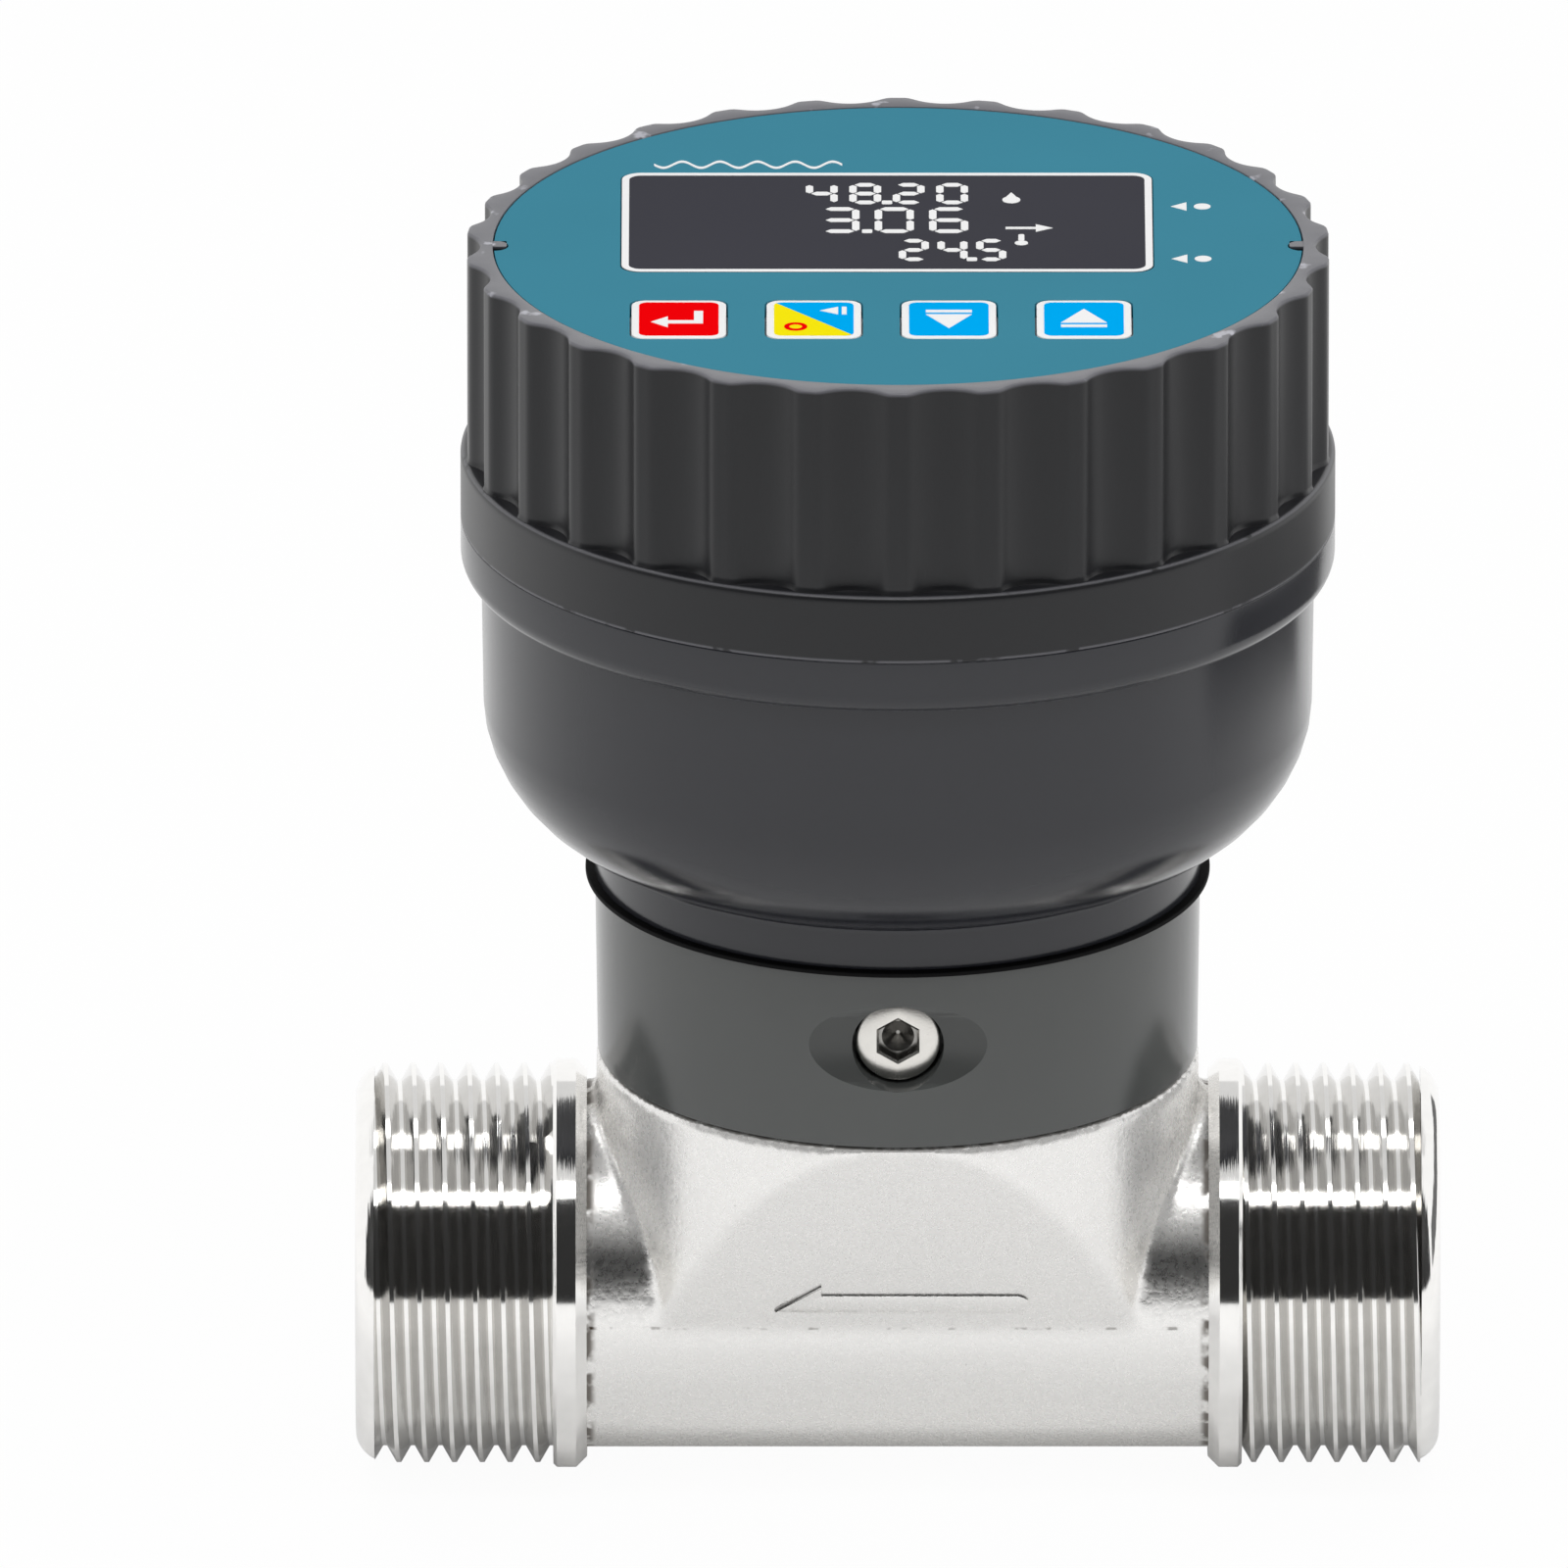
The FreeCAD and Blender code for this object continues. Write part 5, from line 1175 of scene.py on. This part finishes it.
class METER_OT_keys(bpy.types.Operator):
    """Print the coloured faces and white signs of the four keys"""
    bl_idname = "meter.keys"
    bl_label = "Keys"

    def execute(self, context):
        colours = context.scene.meter_colours
        red, yellow, blue, white = (printed(name + "_print", getattr(colours, name))
                                    for name in ("red", "yellow", "blue", "white"))
        self.key("key_set", "set_key", "key_red", [red, white], self.enter_sign)
        self.key("key_shift", "shift_key", "key_yellow", [blue, white, yellow, red], self.shift_sign)
        self.key("key_down", "down_key", "key_blue", [blue, white], lambda *place: self.step_sign(-1, *place))
        self.key("key_up", "up_key", "key_blue", [blue, white], lambda *place: self.step_sign(1, *place))
        return {"FINISHED"}

    def key(self, node, body, slot, materials, sign):
        """Lay a coloured field, or two halves of one, inside the key's white border, with its sign on top."""
        sizes = bpy.context.scene.face_sizes
        low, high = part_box(node)
        middle = (low + high) / 2
        width = sizes.key_width - 2 * sizes.key_border
        depth = sizes.key_depth - 2 * sizes.key_border
        field = high.z - sizes.print_height
        floor = field - sizes.print_height
        cap = painted(softened_copy(node, sizes.key_edge, sharp=40), WHITE)
        crown = [spot for spot in cap.verts if spot.co.z > floor - sizes.key_edge]
        bmesh.ops.translate(cap, verts=crown, vec=(0, 0, floor - high.z))
        corners = box_corners(middle.x, middle.y, width, depth, sizes.key_corner)
        fields = [painted(plate(corners, floor, field), FIELD)]
        if SECOND_FIELD < len(materials):
            spot = Vector((middle.x, middle.y, field))
            across = Vector((depth, width, 0))
            second = painted(plate(corners, floor, field), SECOND_FIELD)
            fields = [self.half(fields[0], spot, -across, FIELD),
                      self.half(second, spot, across, SECOND_FIELD)]
        signs = sign(middle.x, middle.y, field, high.z)
        new_piece(joined(cap, *fields, *signs), node + "_cap", body, materials, [node])

    def half(self, shape, point, normal, index):
        """Keep the half of a field on one side of an upright plane, closed and in one material."""
        return painted(tidy(cut_off(shape, point, normal, close=True)), index)

    def step_sign(self, way, x, y, low, high):
        """A triangle over or under a bar."""
        half, base, tip, line, drop = 1.9 * MM, 1.0 * MM, 2.3 * MM, 0.6 * MM, 0.75 * MM
        triangle = [(x - half, y - way * base, 0), (x + half, y - way * base, 0), (x, y + way * tip, 0)]
        under = box_corners(x, y - way * (base + drop), 2 * half, line)
        return [painted(plate(corners, low, high), WHITE) for corners in (triangle, under)]

    def enter_sign(self, x, y, low, high):
        """A hooked arrow back to the left."""
        stroke, tip, barb, end = 0.75 * MM, x - 2.3 * MM, x - 0.9 * MM, x + 2.0 * MM
        level, half, top = y - 0.8 * MM, 1.3 * MM, y + 1.8 * MM
        foot = level + stroke / 2
        shaft = box_corners((barb + end) / 2, level, end - barb, stroke)
        riser = box_corners(end - stroke / 2, (foot + top) / 2, stroke, top - foot)
        head = [(tip, level, 0), (barb, level - half, 0), (barb, level + half, 0)]
        return [painted(plate(corners, low, high), WHITE) for corners in (shaft, riser, head)]

    def shift_sign(self, x, y, low, high):
        """A pointer to the left with a bar on the blue half, and a red ring on the yellow half."""
        tip, base, half, line = x + 0.5 * MM, x + 2.0 * MM, 0.9 * MM, 0.4 * MM
        level = y + 1.9 * MM
        pointer = [(tip, level, 0), (base, level - half, 0), (base, level + half, 0)]
        beside = box_corners(x + 2.5 * MM, level, line, 2 * half)
        ring = outline_plate(disc_corners(x - 1.5 * MM, y - 1.9 * MM, 0.95 * MM), line, low, high)
        return [painted(plate(pointer, low, high), WHITE), painted(plate(beside, low, high), WHITE),
                painted(ring, RING)]


class METER_OT_carried_finishes(bpy.types.Operator):
    """Give every CAD node the finish of its slot"""
    bl_idname = "meter.carried_finishes"
    bl_label = "Finishes of the carried parts"

    def execute(self, context):
        sizes = context.scene.head_sizes
        colours = context.scene.meter_colours
        inner_grain = 0.02 * MM
        finishes = {
            "panel_teal": printed("panel_foil", colours.panel, rough=0.6),
            "window_dark": printed("window_pane", colours.window),
            "black_rubber": rubbery("sealing_rubber", colours.rubber),
            "screw_steel": turned_steel("bright_steel", colours.steel),
            "bezel_grey": bezel_plastic(colours, sizes),
            "housing_grey": housing_plastic(colours, sizes),
            "collar_grey": collar_plastic(colours),
            "nickel_brass": turned_nickel("turned_nickel", colours.nickel),
            "cartridge_plastic": moulded("cartridge_moulding", colours.cartridge, 0.4, inner_grain),
            "rotor_plastic": moulded("rotor_moulding", colours.rotor, 0.35, inner_grain),
            "bush_plastic": moulded("bush_moulding", colours.bush, 0.35, inner_grain),
            "magnet_steel": turned_steel("ground_magnet", colours.magnet),
            "board_green": printed("solder_mask", colours.board, rough=0.4),
            "battery_wrap": printed("shrink_wrap", colours.wrap, rough=0.3),
            "contact_brass": turned_steel("contact_strip", colours.contact),
        }
        for slot in ("key_red", "key_yellow", "key_blue"):
            finishes[slot] = printed("key_border", colours.white)
        for part in RECORD["subparts"]:
            mesh = frame["nodes"][part["node"]].data
            mesh.materials.clear()
            mesh.materials.append(finishes[part["material_slot"]])
        return {"FINISHED"}


def stage_object(name, shape, material):
    """Put a shape on the stage."""
    mesh = mesh_of(shape, name)
    mesh.materials.append(material)
    thing = linked(name, mesh)
    return thing


def aimed(place, aim):
    """The matrix of a lamp or a camera that stands at a place and looks at a point."""
    turn = (Vector(aim) - Vector(place)).to_track_quat("-Z", "Y")
    return Matrix.Translation(place) @ turn.to_matrix().to_4x4()


def softbox(name, place, size, power):
    """A rectangular lamp that faces the object's middle and isn't seen itself."""
    lamp = bpy.data.lights.new(name, "AREA")
    lamp.shape = "RECTANGLE"
    lamp.size, lamp.size_y = size
    lamp.energy = power
    thing = linked(name, lamp)
    thing.matrix_world = aimed(place, STAGE_MIDDLE)
    thing.visible_camera = False


class METER_OT_stage(bpy.types.Operator):
    """Set the floor, the world, the cards that mirrors see, the soft lights and the camera"""
    bl_idname = "meter.stage"
    bl_label = "Stage"

    def execute(self, context):
        scene = context.scene
        scene.view_settings.view_transform = "Standard"
        self.make_floor()
        self.make_world(scene)
        self.make_card("front_card", low=-0.01, high=0.8, radius=0.5, spread=2.9, tone=0.03)
        self.make_card("right_flag", low=0.016, high=0.046, radius=0.15, spread=0.87, tone=0.15,
                       turn=math.radians(112))
        self.make_card("back_card", low=0.65, high=2.1, radius=0.9, spread=2.6, tone=0.7, turn=math.pi)
        self.make_ceiling(width=4.0, depth=0.94, middle=(0, -0.23, 1.6), tone=0.65)
        softbox("front_strip", place=(0, -0.65, 1.24), size=(1.5, 0.2), power=5.0)
        softbox("top_strip", place=(0, 0.33, 1.29), size=(1.5, 0.27), power=4.0)
        softbox("left_fill", place=(-1.1, -0.5, 0.5), size=(0.5, 0.7), power=2.0)
        softbox("right_fill", place=(1.1, -0.4, 0.5), size=(0.5, 0.7), power=2.0)
        self.make_camera(scene)
        return {"FINISHED"}

    def make_floor(self):
        """White floor that takes the shadow, and of which mirrors see less white close to the object."""
        near, far, near_share = 0.012, 0.08, 0.1
        shape = bmesh.new()
        bmesh.ops.create_grid(shape, x_segments=1, y_segments=1, size=3.0)
        finish = Finish("floor_white")
        finish.surface(Base_Color=grey(0.97), Roughness=0.9, Specular_IOR_Level=0.0)
        glow = finish.node("ShaderNodeEmission", sockets={"Color": grey(1.0), "Strength": 1.0})
        away = finish.vectors("ABSOLUTE", finish.place)
        clear = finish.vectors("SUBTRACT", away, (BODY_HALF, 0, 0))
        gap = finish.vectors("LENGTH", finish.vectors("MAXIMUM", clear, (0, 0, 0)), output="Value")
        seen = finish.looked_at(FLOOR_WHITE, finish.ramp(gap, near, far, near_share, 1.0))
        mixed = finish.node("ShaderNodeMixShader", sockets={
            0: seen, 1: Wire(finish, finish.shader.outputs[0]), 2: glow,
        })
        finish.feed(finish.tree.nodes["Material Output"].inputs["Surface"], mixed)
        stage_object("floor", shape, finish.material)

    def make_world(self, scene):
        """White to the eye and in mirrors, softer as a light."""
        world = bpy.data.worlds.new("studio")
        world.use_nodes = True
        sky = Nodes(world.node_tree)
        background = world.node_tree.nodes["Background"]
        sky.feed(background.inputs["Color"], grey(1.0))
        sky.feed(background.inputs["Strength"], WORLD_LIGHT + sky.looked_at(1.0, 1.0) * (1 - WORLD_LIGHT))
        scene.world = world

    def make_card(self, name, low, high, radius, spread, tone, turn=0.0):
        """A card bent round the Z axis, in front of the object unless it is turned."""
        shape = bmesh.new()
        ends = [shape.verts.new((0, -radius, height)) for height in (low, high)]
        shape.edges.new(ends)
        start = Matrix.Rotation(turn - spread / 2, 3, "Z")
        bmesh.ops.rotate(shape, verts=shape.verts[:], cent=(0, 0, 0), matrix=start)
        bmesh.ops.spin(shape, geom=shape.verts[:] + shape.edges[:], axis=(0, 0, 1), cent=(0, 0, 0),
                       angle=spread, steps=CARD_STEPS)
        self.hang(name, shape, tone)

    def make_ceiling(self, width, depth, middle, tone):
        """A grey ceiling over the strip lamps."""
        shape = bmesh.new()
        bmesh.ops.create_grid(shape, x_segments=1, y_segments=1, size=0.5)
        bmesh.ops.scale(shape, verts=shape.verts[:], vec=(width, depth, 1.0))
        bmesh.ops.translate(shape, verts=shape.verts[:], vec=middle)
        self.hang("ceiling", shape, tone)

    def hang(self, name, shape, tone):
        """Hang a card that neither lights nor shades the object, but shows in its gloss."""
        material = Finish(name).surface(Base_Color=grey(0.0), Roughness=1.0, Specular_IOR_Level=0.0,
                                        Emission_Color=grey(tone), Emission_Strength=1.0)
        card = stage_object(name, shape, material)
        card.visible_camera = False
        card.visible_diffuse = False
        card.visible_shadow = False

    def make_camera(self, scene):
        """A long lens at the picture's angle, aimed so that the object lies where the picture has it."""
        camera = bpy.data.cameras.new("camera")
        camera.lens = CAMERA_LENS
        camera.clip_end = CAMERA_REACH
        pixel = MM / PICTURE_SCALE
        distance = camera.lens / camera.sensor_width * PICTURE_SIZE * pixel
        across = (PICTURE_SIZE / 2 - HEAD_AXIS_PIXEL) * pixel
        up = (PIPE_AXIS_PIXEL - PICTURE_SIZE / 2) * pixel
        aim = PIPE_AXIS + Vector((across, 0, up / math.cos(CAMERA_TILT)))
        away = Vector((0, -math.cos(CAMERA_TILT), math.sin(CAMERA_TILT)))
        scene.camera = linked("camera", camera)
        scene.camera.matrix_world = aimed(aim + away * distance, aim)


class METER_PT_panel(bpy.types.Panel):
    """Lists the meter's pieces in the sidebar"""
    bl_idname = "METER_PT_panel"
    bl_label = "Flow meter"
    bl_space_type = "VIEW_3D"
    bl_region_type = "UI"
    bl_category = "Flow Meter"

    def draw(self, context):
        """Draw one button for each operator."""
        for operator in OPERATORS:
            self.layout.operator(operator.bl_idname)


GROUPS = {
    "body_sizes": BodySizes, "head_sizes": HeadSizes, "face_sizes": FaceSizes, "meter_colours": MeterColours,
}
OPERATORS = (
    METER_OT_carried_finishes, METER_OT_flow_body, METER_OT_collar, METER_OT_gasket, METER_OT_housing,
    METER_OT_bezel, METER_OT_clamp_screws, METER_OT_display, METER_OT_panel_print, METER_OT_keys,
    METER_OT_stage,
)
CLASSES = tuple(GROUPS.values()) + OPERATORS + (METER_PT_panel,)


def register():
    """Register the classes and give the scene their sizes and colours."""
    for item in CLASSES:
        bpy.utils.register_class(item)
    for name, group in GROUPS.items():
        setattr(bpy.types.Scene, name, PointerProperty(type=group))


def unregister():
    """Undo what register did."""
    for name in GROUPS:
        delattr(bpy.types.Scene, name)
    for item in reversed(CLASSES):
        bpy.utils.unregister_class(item)


def main():
    """Make every piece in order."""
    register()
    for operator in OPERATORS:
        space, name = operator.bl_idname.split(".")
        getattr(getattr(bpy.ops, space), name)()


if __name__ == "__main__":
    main()
